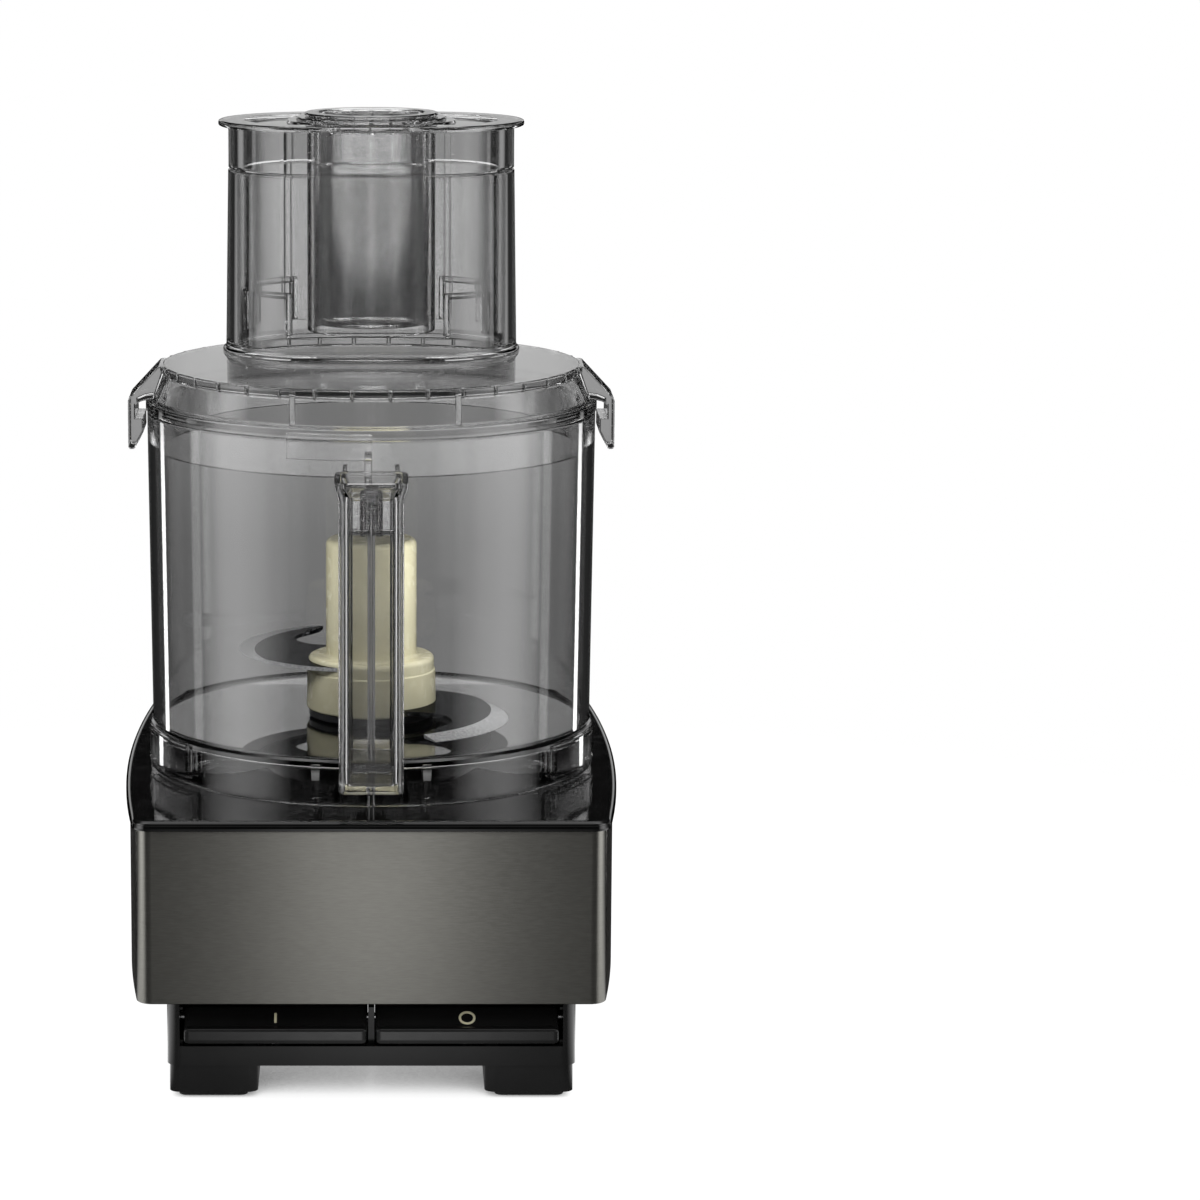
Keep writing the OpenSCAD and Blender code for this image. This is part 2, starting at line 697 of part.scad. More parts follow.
// Front tab and the fin that reaches into the handle's funnel
module lid_tab() {
  difference() {
    span_box(tab_left, 0.3, -96, -75, 252.2, lid_flange_z + 2);
    rod(92.2, 240, 261);
  }
  span_box(-2.6, 0.3, -112, -92.3, rod_top + 0.2, 256);
}

// Clear lid: flat top, flared side, flange on the rim, plug inside the bowl
module lid_cover() color(smoke) {
  difference() {
    union() {
      rotate_extrude() polygon([[0, lid_top - lid_t], [lid_r - 2.4, lid_top - lid_t], [86, 264.3],
        [lid_low_r, 260.4], [lid_low_r, lid_low], [lid_low_r + 2.2, lid_low],
        [lid_low_r + 2.2, lid_flange_z], [lid_flange_r, lid_flange_z], [lid_flange_r, 264.3], [88.3, 264.3],
        [lid_r, lid_top - lid_t], [lid_r, lid_top], [0, lid_top]]);
      for (i = [0:35]) rotate(i * 10 + 5) translate([lid_r, 0, lid_top - lid_t])
        cylinder(r = 0.9, h = lid_t, $fn = 16);
      for (x = [-30.7, 33.9])
        span_box(x - 1.2, x + 1.2, -sqrt(pow(lid_flange_r, 2) - x * x), -79, 262, lid_top - 1);
    }
    translate([0, 0, lid_top - 10]) linear_extrude(20) oval(feed_r - feed_wall);
    rotate_extrude() polygon([[60, lid_top - lid_t - 0.01], [lid_r - 2.5, lid_top - lid_t - 0.01],
      [85.9, 264.2], [lid_low_r - 0.01, 260.3], [60, 240]]);
  }
  for (a = [0, 180]) rotate(a) lid_hook(28);
  lid_tab();
}

// Clear feed tube standing on the lid
module feed_tube() color(smoke) {
  difference() {
    union() {
      translate([0, 0, lid_top]) linear_extrude(tube_top - lid_top) oval(feed_r);
      translate([0, 0, lid_top]) linear_extrude(2) oval(feed_r + 1.6);
    }
    translate([0, 0, lid_top - 1]) linear_extrude(far) oval(feed_r - feed_wall);
  }
}

// ---- Pushers -----------------------------------------------------------------------------

// Hollow large pusher with the small feed tube through it
module large_pusher() color(smoke) {
  difference() {
    translate([0, 0, pusher_low]) linear_extrude(flange_z - pusher_low) oval(pusher_r);
    translate([0, 0, pusher_low - 1]) linear_extrude(far) oval(pusher_r - pusher_wall);
    for (x = [-43, 40]) span_box(x - 8, x + 8, feed_y - 60, feed_y + 60, pusher_low - 1, pusher_low + 18);
  }
  translate([0, feed_y, 0]) ring(small_r, small_r - 2.2, pusher_low, flange_z);
  for (a = [0, 180]) translate([0, feed_y, 0]) rotate(a)
    span_box(small_r - 0.5, feed_c + pusher_r - 1, -1, 1, pusher_low, pusher_low + 30);
}

// Collar flush with the feed tube and the wide flange on top
module pusher_collar() color(smoke) difference() {
  union() {
    translate([0, 0, tube_top + rim_gap]) linear_extrude(flange_z - tube_top) oval(feed_r);
    translate([0, 0, flange_z]) linear_extrude(flange_t) oval(feed_r + 4.6);
    translate([0, feed_y, 0]) rod(31, flange_z, flange_z + flange_t + 1.2);
  }
  translate([0, 0, tube_top]) linear_extrude(flange_z - tube_top) oval(pusher_r);
  translate([0, feed_y, 0]) rod(small_r - 2.2, 300, far);
}

// Small pusher: an open cup with an overhanging rim, which slides in the small feed tube
module small_pusher() color(smoke) translate([0, feed_y, 0]) difference() {
  union() {
    rod(small_r - 2.9, small_low, small_top);
    rod(small_r + 1, small_top - 1.6, small_top);
  }
  rod(small_r - 5, small_low + 2.4, far);
}

top_deck();
steel_band();
band_carrier();
lower_housing();
base_plate();
base_screws();
foot(-1, -1);  // foot_front_left
foot(1, -1);  // foot_front_right
foot(-1, 1);  // foot_rear_left
foot(1, 1);  // foot_rear_right
drive_column();
shaft_seal();
motor_stator();
stator_windings();
upper_bracket();
lower_bracket();
upper_bearing();
lower_bearing();
motor_bolts();
motor_spacers();
run_capacitor();
control_board();
on_switch();
pulse_switch();
interlock_switch();
lever_pivot_rod();
lever_spring(-1);  // on_spring
lever_spring(1);  // pulse_spring
cord_gland();
on_lever();
off_pulse_lever();
interlock_button();
motor_shaft();
rotor_core();
cooling_fan();
blade_hub();
hub_ring();
upper_blade();
lower_blade();
work_bowl();
bowl_handle();
interlock_rod();
rod_spring();
lid_cover();
feed_tube();
large_pusher();
pusher_collar();
small_pusher();
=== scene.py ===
import json
import math

import bmesh
import bpy
from mathutils import Matrix, Vector
from mathutils.geometry import tessellate_polygon


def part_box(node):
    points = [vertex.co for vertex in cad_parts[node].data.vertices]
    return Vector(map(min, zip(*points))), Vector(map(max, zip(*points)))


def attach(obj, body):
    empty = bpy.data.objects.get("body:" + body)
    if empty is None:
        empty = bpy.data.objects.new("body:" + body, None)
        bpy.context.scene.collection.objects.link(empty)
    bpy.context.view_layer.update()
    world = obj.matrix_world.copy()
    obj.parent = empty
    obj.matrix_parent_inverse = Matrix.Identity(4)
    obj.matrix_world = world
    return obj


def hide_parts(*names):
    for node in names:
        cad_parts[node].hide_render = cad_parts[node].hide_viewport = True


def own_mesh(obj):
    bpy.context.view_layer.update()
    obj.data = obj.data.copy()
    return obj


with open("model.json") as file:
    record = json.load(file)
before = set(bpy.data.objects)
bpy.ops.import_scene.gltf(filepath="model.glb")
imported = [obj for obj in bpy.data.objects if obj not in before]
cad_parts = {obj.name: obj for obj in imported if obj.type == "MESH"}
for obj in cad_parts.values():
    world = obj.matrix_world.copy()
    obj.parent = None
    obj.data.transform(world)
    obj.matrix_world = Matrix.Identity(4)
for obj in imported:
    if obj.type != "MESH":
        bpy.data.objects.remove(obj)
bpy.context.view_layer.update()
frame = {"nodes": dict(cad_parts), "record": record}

MM = 0.001                     # shapes are drawn in millimetres and scaled by this

# Camera and studio, in metres and degrees
CAMERA_DISTANCE = 1.76653      # before the machine's axis
CAMERA_HEIGHT = 0.51134
CAMERA_PITCH = 10.62           # down from level
CAMERA_LENS = 131.28           # millimetres
CAMERA_SHIFT = 0.1906
PANELS = 8                     # lit panels in a full turn around the machine
FLOOR_R = 0.62
FLOOR_GAP = 0.05 * MM          # between the floor and the feet

# Sizes that several shapes share, in millimetres and degrees
SIDE_R = 1050                  # bulge of the deck's long sides
DECK_CORNER = 8                # radius of the deck's upright corners
LOCKS = (20, 160, 200, 340)    # middles of the deck's cleats and of the bowl's tabs
LOCK_HALF = 10                 # half of the angle that each of them covers
SKIRT_R = 90.9                 # outside of the bowl's skirt
ROD_Y = -110.5                 # axis of the interlock rod and of its guide
FEED_R = 36.2                  # radius of the feed opening's round ends
NUB_STEP = 10                  # from one nub on the lid's edge to the next
NOTCH_LEFT = (-51, -35)        # extent in x of the large pusher's left notches
NOTCH_RIGHT = (32, 48)         # and of its right ones

# Roundings
GUARD = 1.15                   # a guard point's distance from its corner, in reaches of the rounding
SHARE = 0.42                   # the most of a side that one rounding takes up


def span(node):
    """Lowest and highest corner of a CAD node in millimetres."""
    lo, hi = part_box(node)
    return lo / MM, hi / MM


# ---- Shapes ---------------------------------------------------------------------------------

def arc(cx, cy, r, start, end, steps):
    """Points along an arc, with both ends; angles in degrees."""
    turn = [math.radians(start + (end - start) * i / steps) for i in range(steps + 1)]
    return [(cx + r * math.cos(a), cy + r * math.sin(a)) for a in turn]


def per_corner(value, corners):
    """One value for each corner, from a list of them or from a single number."""
    return value if isinstance(value, (list, tuple)) else [value] * len(corners)


def fillet(points, radius, steps=4):
    """A closed outline with rounded corners, and a guard point beside each rounding.

    The guard points keep the shading of the long faces straight."""
    radii = per_corner(radius, points)
    out = []
    for i, corner in enumerate(points):
        p, a, b = Vector(corner), Vector(points[i - 1]), Vector(points[(i + 1) % len(points)])
        to_a, to_b = (a - p).normalized(), (b - p).normalized()
        half = to_a.angle(to_b) / 2
        r = min(radii[i], SHARE * min((a - p).length, (b - p).length) * math.tan(half))
        if r < 1e-3 or half > math.radians(88):
            out.append(tuple(p))
            continue
        reach = r / math.tan(half)
        centre = p + (to_a + to_b).normalized() * (r / math.sin(half))
        first, last = p + to_a * reach, p + to_b * reach
        sweep = (first - centre).angle_signed(last - centre)
        out.append(tuple(p + to_a * reach * GUARD))
        for k in range(steps + 1):
            out.append(tuple(centre + Matrix.Rotation(-sweep * k / steps, 2) @ (first - centre)))
        out.append(tuple(p + to_b * reach * GUARD))
    return out


def inset(points, d):
    """A closed outline moved inwards by d along its corner bisectors."""
    area = sum(a[0] * b[1] - b[0] * a[1] for a, b in zip(points, points[1:] + points[:1]))
    side = 1 if area > 0 else -1
    out = []
    for i, corner in enumerate(points):
        p, a, b = Vector(corner), Vector(points[i - 1]), Vector(points[(i + 1) % len(points)])
        u, v = (p - a).normalized(), (b - p).normalized()
        n = (Vector((-u.y, u.x)) + Vector((-v.y, v.x))).normalized()
        stretch = max(0.5, n.dot(Vector((-u.y, u.x))))
        out.append(tuple(p + n * (side * d / stretch)))
    return out


def round_rect(x0, x1, y0, y1, r, steps=5):
    return fillet([(x0, y0), (x1, y0), (x1, y1), (x0, y1)], r, steps)


def new_loop(bm, points):
    """New vertices at the points, in their order."""
    return [bm.verts.new(p) for p in points]


def bridge(bm, a, b):
    """Joins two loops of equal length with a band of faces."""
    for i in range(len(a)):
        j = (i + 1) % len(a)
        bm.faces.new((a[i], a[j], b[j], b[i]))


def add_loft(bm, rings, caps=(True, True), closed=False):
    """Adds a skin through rings of equal length; it caps its ends or closes on itself.

    Returns the loop of vertices at each ring."""
    made = [new_loop(bm, ring) for ring in rings]
    for a, b in zip(made, made[1:]):
        bridge(bm, a, b)
    if closed:
        bridge(bm, made[-1], made[0])
    if not closed and caps[0]:
        bm.faces.new(reversed(made[0]))
    if not closed and caps[1]:
        bm.faces.new(made[-1])
    return made


def fill(bm, loops):
    """Fills the flat region inside the first loop of vertices and outside the others."""
    flat = [v for loop in loops for v in loop]
    for corner in tessellate_polygon([[v.co for v in loop] for loop in loops]):
        bm.faces.new([flat[i] for i in corner])


def lathe(bm, profile, closed=True, segments=144, centre=(0, 0), angles=None):
    """Turns an (r, z) profile about an upright axis; profile may be a function of the angle.

    Returns one list of vertices for each point of the profile."""
    cx, cy = centre
    angles = angles or [360 * i / segments for i in range(segments)]
    shape = profile if callable(profile) else lambda a: profile
    columns = [(math.radians(a), shape(a)) for a in angles]
    rings = []
    for k, (r, z) in enumerate(columns[0][1]):
        if r < 1e-6:
            rings.append(new_loop(bm, [(cx, cy, z)]))
        else:
            rings.append(new_loop(bm, [(cx + p[k][0] * math.cos(a), cy + p[k][0] * math.sin(a), p[k][1])
                                       for a, p in columns]))
    pairs = list(zip(rings, rings[1:] + rings[:1])) if closed else list(zip(rings, rings[1:]))
    for a, b in pairs:
        for i in range(len(columns)):
            j = (i + 1) % len(columns)
            if len(a) > 1 and len(b) > 1:
                bm.faces.new((a[i], b[i], b[j], a[j]))
            elif len(b) > 1:
                bm.faces.new((a[0], b[i], b[j]))
            elif len(a) > 1:
                bm.faces.new((a[i], b[0], a[j]))
    return rings


def add_arc(bm, profile, start, end, steps, centre=(0, 0)):
    """Sweeps a closed (r, z) profile through part of a turn about centre and caps both ends."""
    cx, cy = centre
    turn = [math.radians(start + (end - start) * i / steps) for i in range(steps + 1)]
    add_loft(bm, [[(cx + r * math.cos(a), cy + r * math.sin(a), z) for r, z in profile] for a in turn])


def add_prism(bm, corners, radius, low, high, place, edge=0.4, steps=3):
    """Extrudes a rounded outline from low to high with softened end edges.

    place maps (u, v, w) to x, y, z. Each inset outline keeps its own true corner radii."""
    radii = per_corner(radius, corners)

    def outline(d):
        return fillet(inset(corners, d), [max(r - d, 0.02) if r else 0 for r in radii], steps)

    # Share of the edge that each ring is drawn in and set back, from the end face to the side
    levels = [(1.3, 0), (1, 0), (0.3, 0.3), (0, 1), (0, 1.2)]
    rings = [(outline(edge * d), low + edge * w) for d, w in levels]
    rings += [(outline(edge * d), high - edge * w) for d, w in reversed(levels)]
    add_loft(bm, [[place(u, v, w) for u, v in shape] for shape, w in rings])


def upright(u, v, w):
    """Places an outline drawn in plan, extruded upwards."""
    return (u, v, w)


def along_x(u, v, w):
    """Places an outline drawn in y and z, extruded along x."""
    return (w, u, v)


def base_outline(d):
    """Plan of the machine's base, with bulging sides and round corners, drawn in by d."""
    lo, hi = span("top_deck")
    r, big = DECK_CORNER - d, SIDE_R - d
    mid, half = (lo.y + hi.y) / 2, (hi.y - lo.y) / 2 - d
    side_c = SIDE_R - hi.x
    corner_x = math.sqrt((big - r) ** 2 - (half - r) ** 2) - side_c
    tip = math.degrees(math.asin((half - r) / (big - r)))
    points = arc(-side_c, mid, big, -tip, tip, 24)
    points += arc(corner_x, mid + half - r, r, tip, 90, 8)[1:]
    points += arc(-corner_x, mid + half - r, r, 90, 180 - tip, 8)
    points += arc(side_c, mid, big, 180 - tip, 180 + tip, 24)[1:]
    points += arc(-corner_x, mid - half + r, r, 180 + tip, 270, 8)[1:]
    points += arc(corner_x, mid - half + r, r, 270, 360 - tip, 8)[:-1]
    return points


def tube_plan():
    """The feed tube's middle in y, and the distance from its axis to each round end's centre."""
    lo, hi = span("large_pusher")
    return (lo.y + hi.y) / 2, (hi.x - lo.x - hi.y + lo.y) / 2


def oval(r, steps=30):
    """Outline with two straight sides and round ends, centred on the feed tube."""
    mid, reach = tube_plan()
    return arc(reach, mid, r, -90, 90, steps) + arc(-reach, mid, r, 90, 270, steps)


def ring_at(outline, z):
    return [(x, y, z) for x, y in outline]


def finish_mesh(name, bm, body, material, nodes=(), sharp=32, in_mm=True):
    """Turns a bmesh into a piece that rides on a body and stands for CAD nodes."""
    if in_mm:
        bmesh.ops.scale(bm, vec=(MM, MM, MM), verts=bm.verts)
    bmesh.ops.recalc_face_normals(bm, faces=bm.faces)
    mesh = bpy.data.meshes.new(name)
    bm.to_mesh(mesh)
    bm.free()
    for face in mesh.polygons:
        face.use_smooth = True
    mesh.set_sharp_from_angle(angle=math.radians(sharp))
    piece = bpy.data.objects.new(name, mesh)
    bpy.context.scene.collection.objects.link(piece)
    mesh.materials.append(material)
    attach(piece, body)
    if nodes:
        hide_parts(*nodes)
    return piece


def refined(name, nodes, body, material, width=0.4, segments=2, crease=35):
    """A copy of CAD nodes with merged flat faces and rounded edges, standing for them."""
    bm = bmesh.new()
    for node in nodes:
        bm.from_mesh(frame["nodes"][node].data)
    bmesh.ops.remove_doubles(bm, verts=bm.verts, dist=2e-6)
    bmesh.ops.dissolve_limit(bm, angle_limit=math.radians(0.4), verts=bm.verts, edges=bm.edges)
    edges = [e for e in bm.edges
             if len(e.link_faces) == 2 and e.calc_face_angle(0) > math.radians(crease)]
    bmesh.ops.bevel(bm, geom=edges, offset=width * MM, segments=segments, profile=0.5,
                    affect="EDGES", clamp_overlap=True)
    piece = finish_mesh(name, bm, body, material, nodes, in_mm=False)
    flatten = piece.modifiers.new("even_shading", "WEIGHTED_NORMAL")
    flatten.keep_sharp = True
    return piece


# ---- Materials ------------------------------------------------------------------------------

def new_material(name, **values):
    """A material with one Principled shader, and its sockets set by name."""
    material = bpy.data.materials.new(name)
    material.use_nodes = True
    shader = material.node_tree.nodes["Principled BSDF"]
    for socket, value in values.items():
        shader.inputs[socket.replace("_", " ")].default_value = value
    return material, material.node_tree, shader


def pattern(tree, scale, detail=4):
    """A noise value in the object's own coordinates; scale is one number or one for each axis."""
    place = tree.nodes.new("ShaderNodeTexCoord")
    mapping = tree.nodes.new("ShaderNodeMapping")
    mapping.inputs["Scale"].default_value = scale if isinstance(scale, tuple) else (scale,) * 3
    texture = tree.nodes.new("ShaderNodeTexNoise")
    texture.inputs["Scale"].default_value = 1
    texture.inputs["Detail"].default_value = detail
    tree.links.new(place.outputs["Object"], mapping.inputs["Vector"])
    tree.links.new(mapping.outputs["Vector"], texture.inputs["Vector"])
    return texture.outputs[0]


def spread(tree, value, low, high, source=(0.3, 0.7)):
    """A value stretched from the source range to low and high."""
    node = tree.nodes.new("ShaderNodeMapRange")
    node.inputs["From Min"].default_value, node.inputs["From Max"].default_value = source
    node.inputs["To Min"].default_value, node.inputs["To Max"].default_value = low, high
    tree.links.new(value, node.inputs["Value"])
    return node.outputs["Result"]


def mix_colour(tree, factor, a, b):
    """A colour between a and b; each is a colour or a link."""
    node = tree.nodes.new("ShaderNodeMix")
    node.data_type = "RGBA"
    for name, value in (("A", a), ("B", b)):
        if isinstance(value, tuple):
            node.inputs[name].default_value = (*value, 1)
        else:
            tree.links.new(value, node.inputs[name])
    tree.links.new(factor, node.inputs["Factor"])
    return node.outputs["Result"]


def tint(tree, value, low, high):
    """A colour that varies between low and high with a pattern's value."""
    return mix_colour(tree, spread(tree, value, 0, 1), low, high)


def bump(tree, shader, value, strength, distance):
    node = tree.nodes.new("ShaderNodeBump")
    node.inputs["Strength"].default_value = strength
    node.inputs["Distance"].default_value = distance
    tree.links.new(value, node.inputs["Height"])
    tree.links.new(node.outputs["Normal"], shader.inputs["Normal"])


def moulded(name, low, high, rough, grain_scale, grain, **values):
    """Moulded plastic or rubber: slight colour and gloss variation, and a surface grain."""
    material, tree, shader = new_material(name, **values)
    tree.links.new(tint(tree, pattern(tree, 35), low, high), shader.inputs["Base Color"])
    tree.links.new(spread(tree, pattern(tree, 160), *rough), shader.inputs["Roughness"])
    bump(tree, shader, pattern(tree, grain_scale, 6), grain, 0.02 * MM)
    return material


def metal(name, low, high, rough, brush, strength=0.15, **values):
    """Metal with fine lines; brush is the noise scale, one number or one for each axis."""
    material, tree, shader = new_material(name, **{"Metallic": 1.0, **values})
    lines = pattern(tree, brush, 3)
    tree.links.new(tint(tree, lines, low, high), shader.inputs["Base Color"])
    tree.links.new(spread(tree, lines, *rough), shader.inputs["Roughness"])
    bump(tree, shader, lines, strength, 0.01 * MM)
    return material


def smoked(name, colour, waviness):
    """Clear smoked plastic: tinted, with faint flow lines and a slightly uneven polish."""
    material, tree, shader = new_material(name, Transmission_Weight=1.0, IOR=1.49)
    shade = tuple(0.97 * c for c in colour)
    tree.links.new(tint(tree, pattern(tree, (12, 12, 5)), shade, colour), shader.inputs["Base Color"])
    tree.links.new(spread(tree, pattern(tree, 90), 0.0, 0.02), shader.inputs["Roughness"])
    bump(tree, shader, pattern(tree, (22, 22, 10), 2), waviness, 0.2 * MM)
    return material


def grey(level):
    return (level, level, level)


GLOSS = moulded("gloss_black", grey(0.002), grey(0.004), (0.04, 0.08), 900, 0.02)
SATIN = moulded("satin_black", grey(0.006), grey(0.010), (0.14, 0.2), 1400, 0.06)
RUBBER = moulded("rubber", grey(0.010), grey(0.018), (0.55, 0.75), 2500, 0.5)
BAND = metal("black_stainless", (0.160, 0.157, 0.143), (0.185, 0.182, 0.167), (0.28, 0.34),
             (240, 240, 3400), 0.08, Anisotropic=0.8, Anisotropic_Rotation=0.25)
BLADE = metal("blade_steel", (0.055, 0.057, 0.06), (0.08, 0.082, 0.085), (0.08, 0.14), (900, 60, 60),
              0.1, Specular_Tint=(*grey(0.35), 1))
EDGE = metal("ground_edge", (0.30, 0.30, 0.31), (0.78, 0.79, 0.80), (0.3, 0.5), 1100, 0.8, Metallic=0.3)
STEEL = metal("bright_steel", (0.5, 0.5, 0.51), (0.68, 0.68, 0.69), (0.15, 0.28), (200, 200, 1800))
LAMINATE = metal("laminations", (0.2, 0.2, 0.21), (0.42, 0.42, 0.44), (0.3, 0.5), (15, 15, 2200), 0.5)
CAST = metal("cast_aluminium", (0.42, 0.42, 0.43), (0.62, 0.62, 0.64), (0.4, 0.6), 420, 0.6)
COPPER = metal("winding_copper", (0.45, 0.16, 0.06), (0.74, 0.32, 0.14), (0.25, 0.4), 1200, 0.8)
BOARD = moulded("circuit_board", (0.008, 0.07, 0.03), (0.015, 0.12, 0.05), (0.3, 0.45), 500, 0.2)
SWITCH = moulded("switch_plastic", (0.10, 0.02, 0.02), (0.16, 0.035, 0.03), (0.35, 0.5), 900, 0.2)
IVORY = moulded("ivory_plastic", (0.72, 0.68, 0.46), (0.78, 0.74, 0.53), (0.22, 0.30), 700, 0.05)
GREY = moulded("grey_plastic", (0.025, 0.025, 0.027), (0.04, 0.04, 0.043), (0.3, 0.4), 900, 0.1)
CLEAR = smoked("smoked_clear", grey(0.69), 0.04)

# Each CAD material slot and its material; the ground edge is part of the blade's slot
SLOTS = {
    "gloss_black": GLOSS, "black_plastic": SATIN, "rubber": RUBBER, "black_stainless": BAND,
    "steel": STEEL, "blade_steel": BLADE, "electrical_steel": LAMINATE, "cast_aluminium": CAST,
    "copper": COPPER, "circuit_board": BOARD, "switch_plastic": SWITCH, "ivory_plastic": IVORY,
    "grey_plastic": GREY, "smoked_clear": CLEAR,
}


# ---- Studio ---------------------------------------------------------------------------------

def make_camera():
    """A long lens before the machine, looking down at it; the shift puts the machine at the left."""
    camera = bpy.data.objects.new("camera", bpy.data.cameras.new("camera"))
    bpy.context.scene.collection.objects.link(camera)
    camera.location = (0, -CAMERA_DISTANCE, CAMERA_HEIGHT)
    camera.rotation_euler = (math.radians(90 - CAMERA_PITCH), 0, 0)
    camera.data.sensor_width = 36
    camera.data.lens = CAMERA_LENS
    camera.data.shift_x = CAMERA_SHIFT
    bpy.context.scene.camera = camera


def maths(tree, operation, *values):
    """A math node's result; each value is a number or a link."""
    node = tree.nodes.new("ShaderNodeMath")
    node.operation = operation
    for socket, value in zip(node.inputs, values):
        if isinstance(value, (int, float)):
            socket.default_value = value
        else:
            tree.links.new(value, socket)
    return node.outputs[0]


def in_degrees(tree, angle):
    return maths(tree, "MULTIPLY", angle, 180 / math.pi)


def away_from_front(tree, x, y):
    """Angle of a plan direction away from the front, in degrees, the same on both sides."""
    turn = maths(tree, "ARCTAN2", maths(tree, "ABSOLUTE", x), maths(tree, "MULTIPLY", y, -1))
    return in_degrees(tree, turn)


def side_strips(tree, away):
    """Two tall soft boxes, one on each side of the camera."""
    return ramp(tree, away, [(0, 0.0), (42, 0.0), (58, 0.75), (72, 1.0), (80, 0.8), (98, 0.0),
                             (180, 0.0)])


def ramp(tree, value, stops):
    """Brightness against a value; stops are (value, level) pairs in rising order."""
    places, levels = zip(*stops)
    low, high = places[0], places[-1]
    node = tree.nodes.new("ShaderNodeValToRGB")
    elements = node.color_ramp.elements
    elements[0].position, elements[1].position = 0, 1
    for place in places[1:-1]:
        elements.new((place - low) / (high - low))
    for element, level in zip(elements, levels):
        element.color = (*grey(level), 1)
    tree.links.new(spread(tree, value, 0, 1, (low, high)), node.inputs["Fac"])
    return node.outputs["Color"]


def make_floor():
    """A round pale floor just under the feet."""
    turn = [math.pi * i / 48 for i in range(96)]
    rings = [[(r * math.cos(a), r * math.sin(a), -FLOOR_GAP) for a in turn] for r in (0.1, 0.3, FLOOR_R)]
    bm = bmesh.new()
    add_loft(bm, rings, (True, False))
    bmesh.ops.reverse_faces(bm, faces=bm.faces)
    mesh = bpy.data.meshes.new("floor")
    bm.to_mesh(mesh)
    bm.free()
    floor = bpy.data.objects.new("floor", mesh)
    bpy.context.scene.collection.objects.link(floor)
    mesh.materials.append(floor_material())


def floor_material():
    """Glowing white, with a painted contact shadow close to the feet; it fades at the rim and is clear from
    below.

    Polished surfaces mirror the two side strips and bright patches instead of the white: there the floor
    glows, standing in for lamps."""
    material, tree, shader = new_material("pale_floor", Base_Color=(0, 0, 0, 1), Roughness=0.7,
                                          Specular_IOR_Level=0.0, Emission_Strength=1.0)
    # Painted contact shadow: the floor's glow is dimmed where parts stand close above it
    near = tree.nodes.new("ShaderNodeAmbientOcclusion")
    near.inputs["Distance"].default_value = 0.045
    shade = ramp(tree, near.outputs["AO"], [(0.0, 0.02), (0.08, 0.35), (0.2, 0.8), (0.4, 1.0),
                                            (0.7, 1.06), (1.0, 1.1)])
    place = tree.nodes.new("ShaderNodeTexCoord").outputs["Object"]
    parts = tree.nodes.new("ShaderNodeSeparateXYZ")
    tree.links.new(place, parts.inputs[0])
    x, y = parts.outputs["X"], parts.outputs["Y"]
    strips = side_strips(tree, away_from_front(tree, x, y))
    bright = maths(tree, "MULTIPLY_ADD", strips, 2.0, mirrored_patches(tree, x, y))
    path = tree.nodes.new("ShaderNodeLightPath")
    mirrored = maths(tree, "SUBTRACT", path.outputs["Is Glossy Ray"], path.outputs["Is Transmission Ray"])
    mirrored = maths(tree, "MAXIMUM", mirrored, 0)
    tree.links.new(mix_colour(tree, mirrored, shade, bright), shader.inputs["Emission Color"])

    length = tree.nodes.new("ShaderNodeVectorMath")
    length.operation = "LENGTH"
    tree.links.new(place, length.inputs[0])
    rim = spread(tree, length.outputs["Value"], 0, 1, (FLOOR_R * 0.75, FLOOR_R * 0.98))
    below = tree.nodes.new("ShaderNodeNewGeometry").outputs["Backfacing"]
    mix = tree.nodes.new("ShaderNodeMixShader")
    tree.links.new(maths(tree, "MAXIMUM", rim, below), mix.inputs["Fac"])
    tree.links.new(shader.outputs[0], mix.inputs[1])
    tree.links.new(tree.nodes.new("ShaderNodeBsdfTransparent").outputs[0], mix.inputs[2])
    tree.links.new(mix.outputs[0], tree.nodes["Material Output"].inputs["Surface"])
    return material


def mirrored_patches(tree, x, y):
    """Glow on the floor before the machine, and a narrower glowing patch behind it, which the band and
    levers mirror as their highlights.
    """
    side = maths(tree, "ABSOLUTE", x)
    across = ramp(tree, side, [(0, 1.0), (0.03, 0.8), (0.06, 0.42), (0.09, 0.2), (0.13, 0.1), (0.3, 0.04)])
    narrow = ramp(tree, side, [(0, 1.0), (0.05, 1.0), (0.085, 0.0), (0.3, 0.0)])
    narrow = maths(tree, "MAXIMUM", narrow, maths(tree, "LESS_THAN", y, 0))
    along = ramp(tree, maths(tree, "ABSOLUTE", y), [(0, 0.0), (0.14, 0.3), (0.2, 0.8), (0.33, 1.3),
                                                    (0.48, 4.6), (0.54, 0.2), (0.6, 0.1)])
    return maths(tree, "MULTIPLY", maths(tree, "MULTIPLY", across, narrow), along)


def make_world():
    """White to the camera; other rays see panels, strips or soft light, by how they got there."""
    world = bpy.data.worlds.new("studio")
    bpy.context.scene.world = world
    world.use_nodes = True
    tree = world.node_tree
    parts = tree.nodes.new("ShaderNodeSeparateXYZ")
    tree.links.new(tree.nodes.new("ShaderNodeTexCoord").outputs["Generated"], parts.inputs[0])
    x, y, rise = parts.outputs
    elevation = in_degrees(tree, maths(tree, "ARCSINE", rise))
    away = away_from_front(tree, x, y)
    path = tree.nodes.new("ShaderNodeLightPath")
    soft = ramp(tree, elevation, [(-90, 0.5), (0, 0.6), (30, 1.2), (90, 1.5)])
    gloss = gloss_light(tree, away, elevation)
    through = wall_light(tree, away, elevation, path.outputs["Transmission Depth"])
    # A ray refracted by a polished surface counts as glossy too, so transmission comes after gloss
    seen = mix_colour(tree, path.outputs["Is Glossy Ray"], soft, gloss)
    seen = mix_colour(tree, path.outputs["Is Transmission Ray"], seen, through)
    seen = mix_colour(tree, path.outputs["Is Camera Ray"], seen, grey(1.0))
    tree.links.new(seen, tree.nodes["Background"].inputs["Color"])


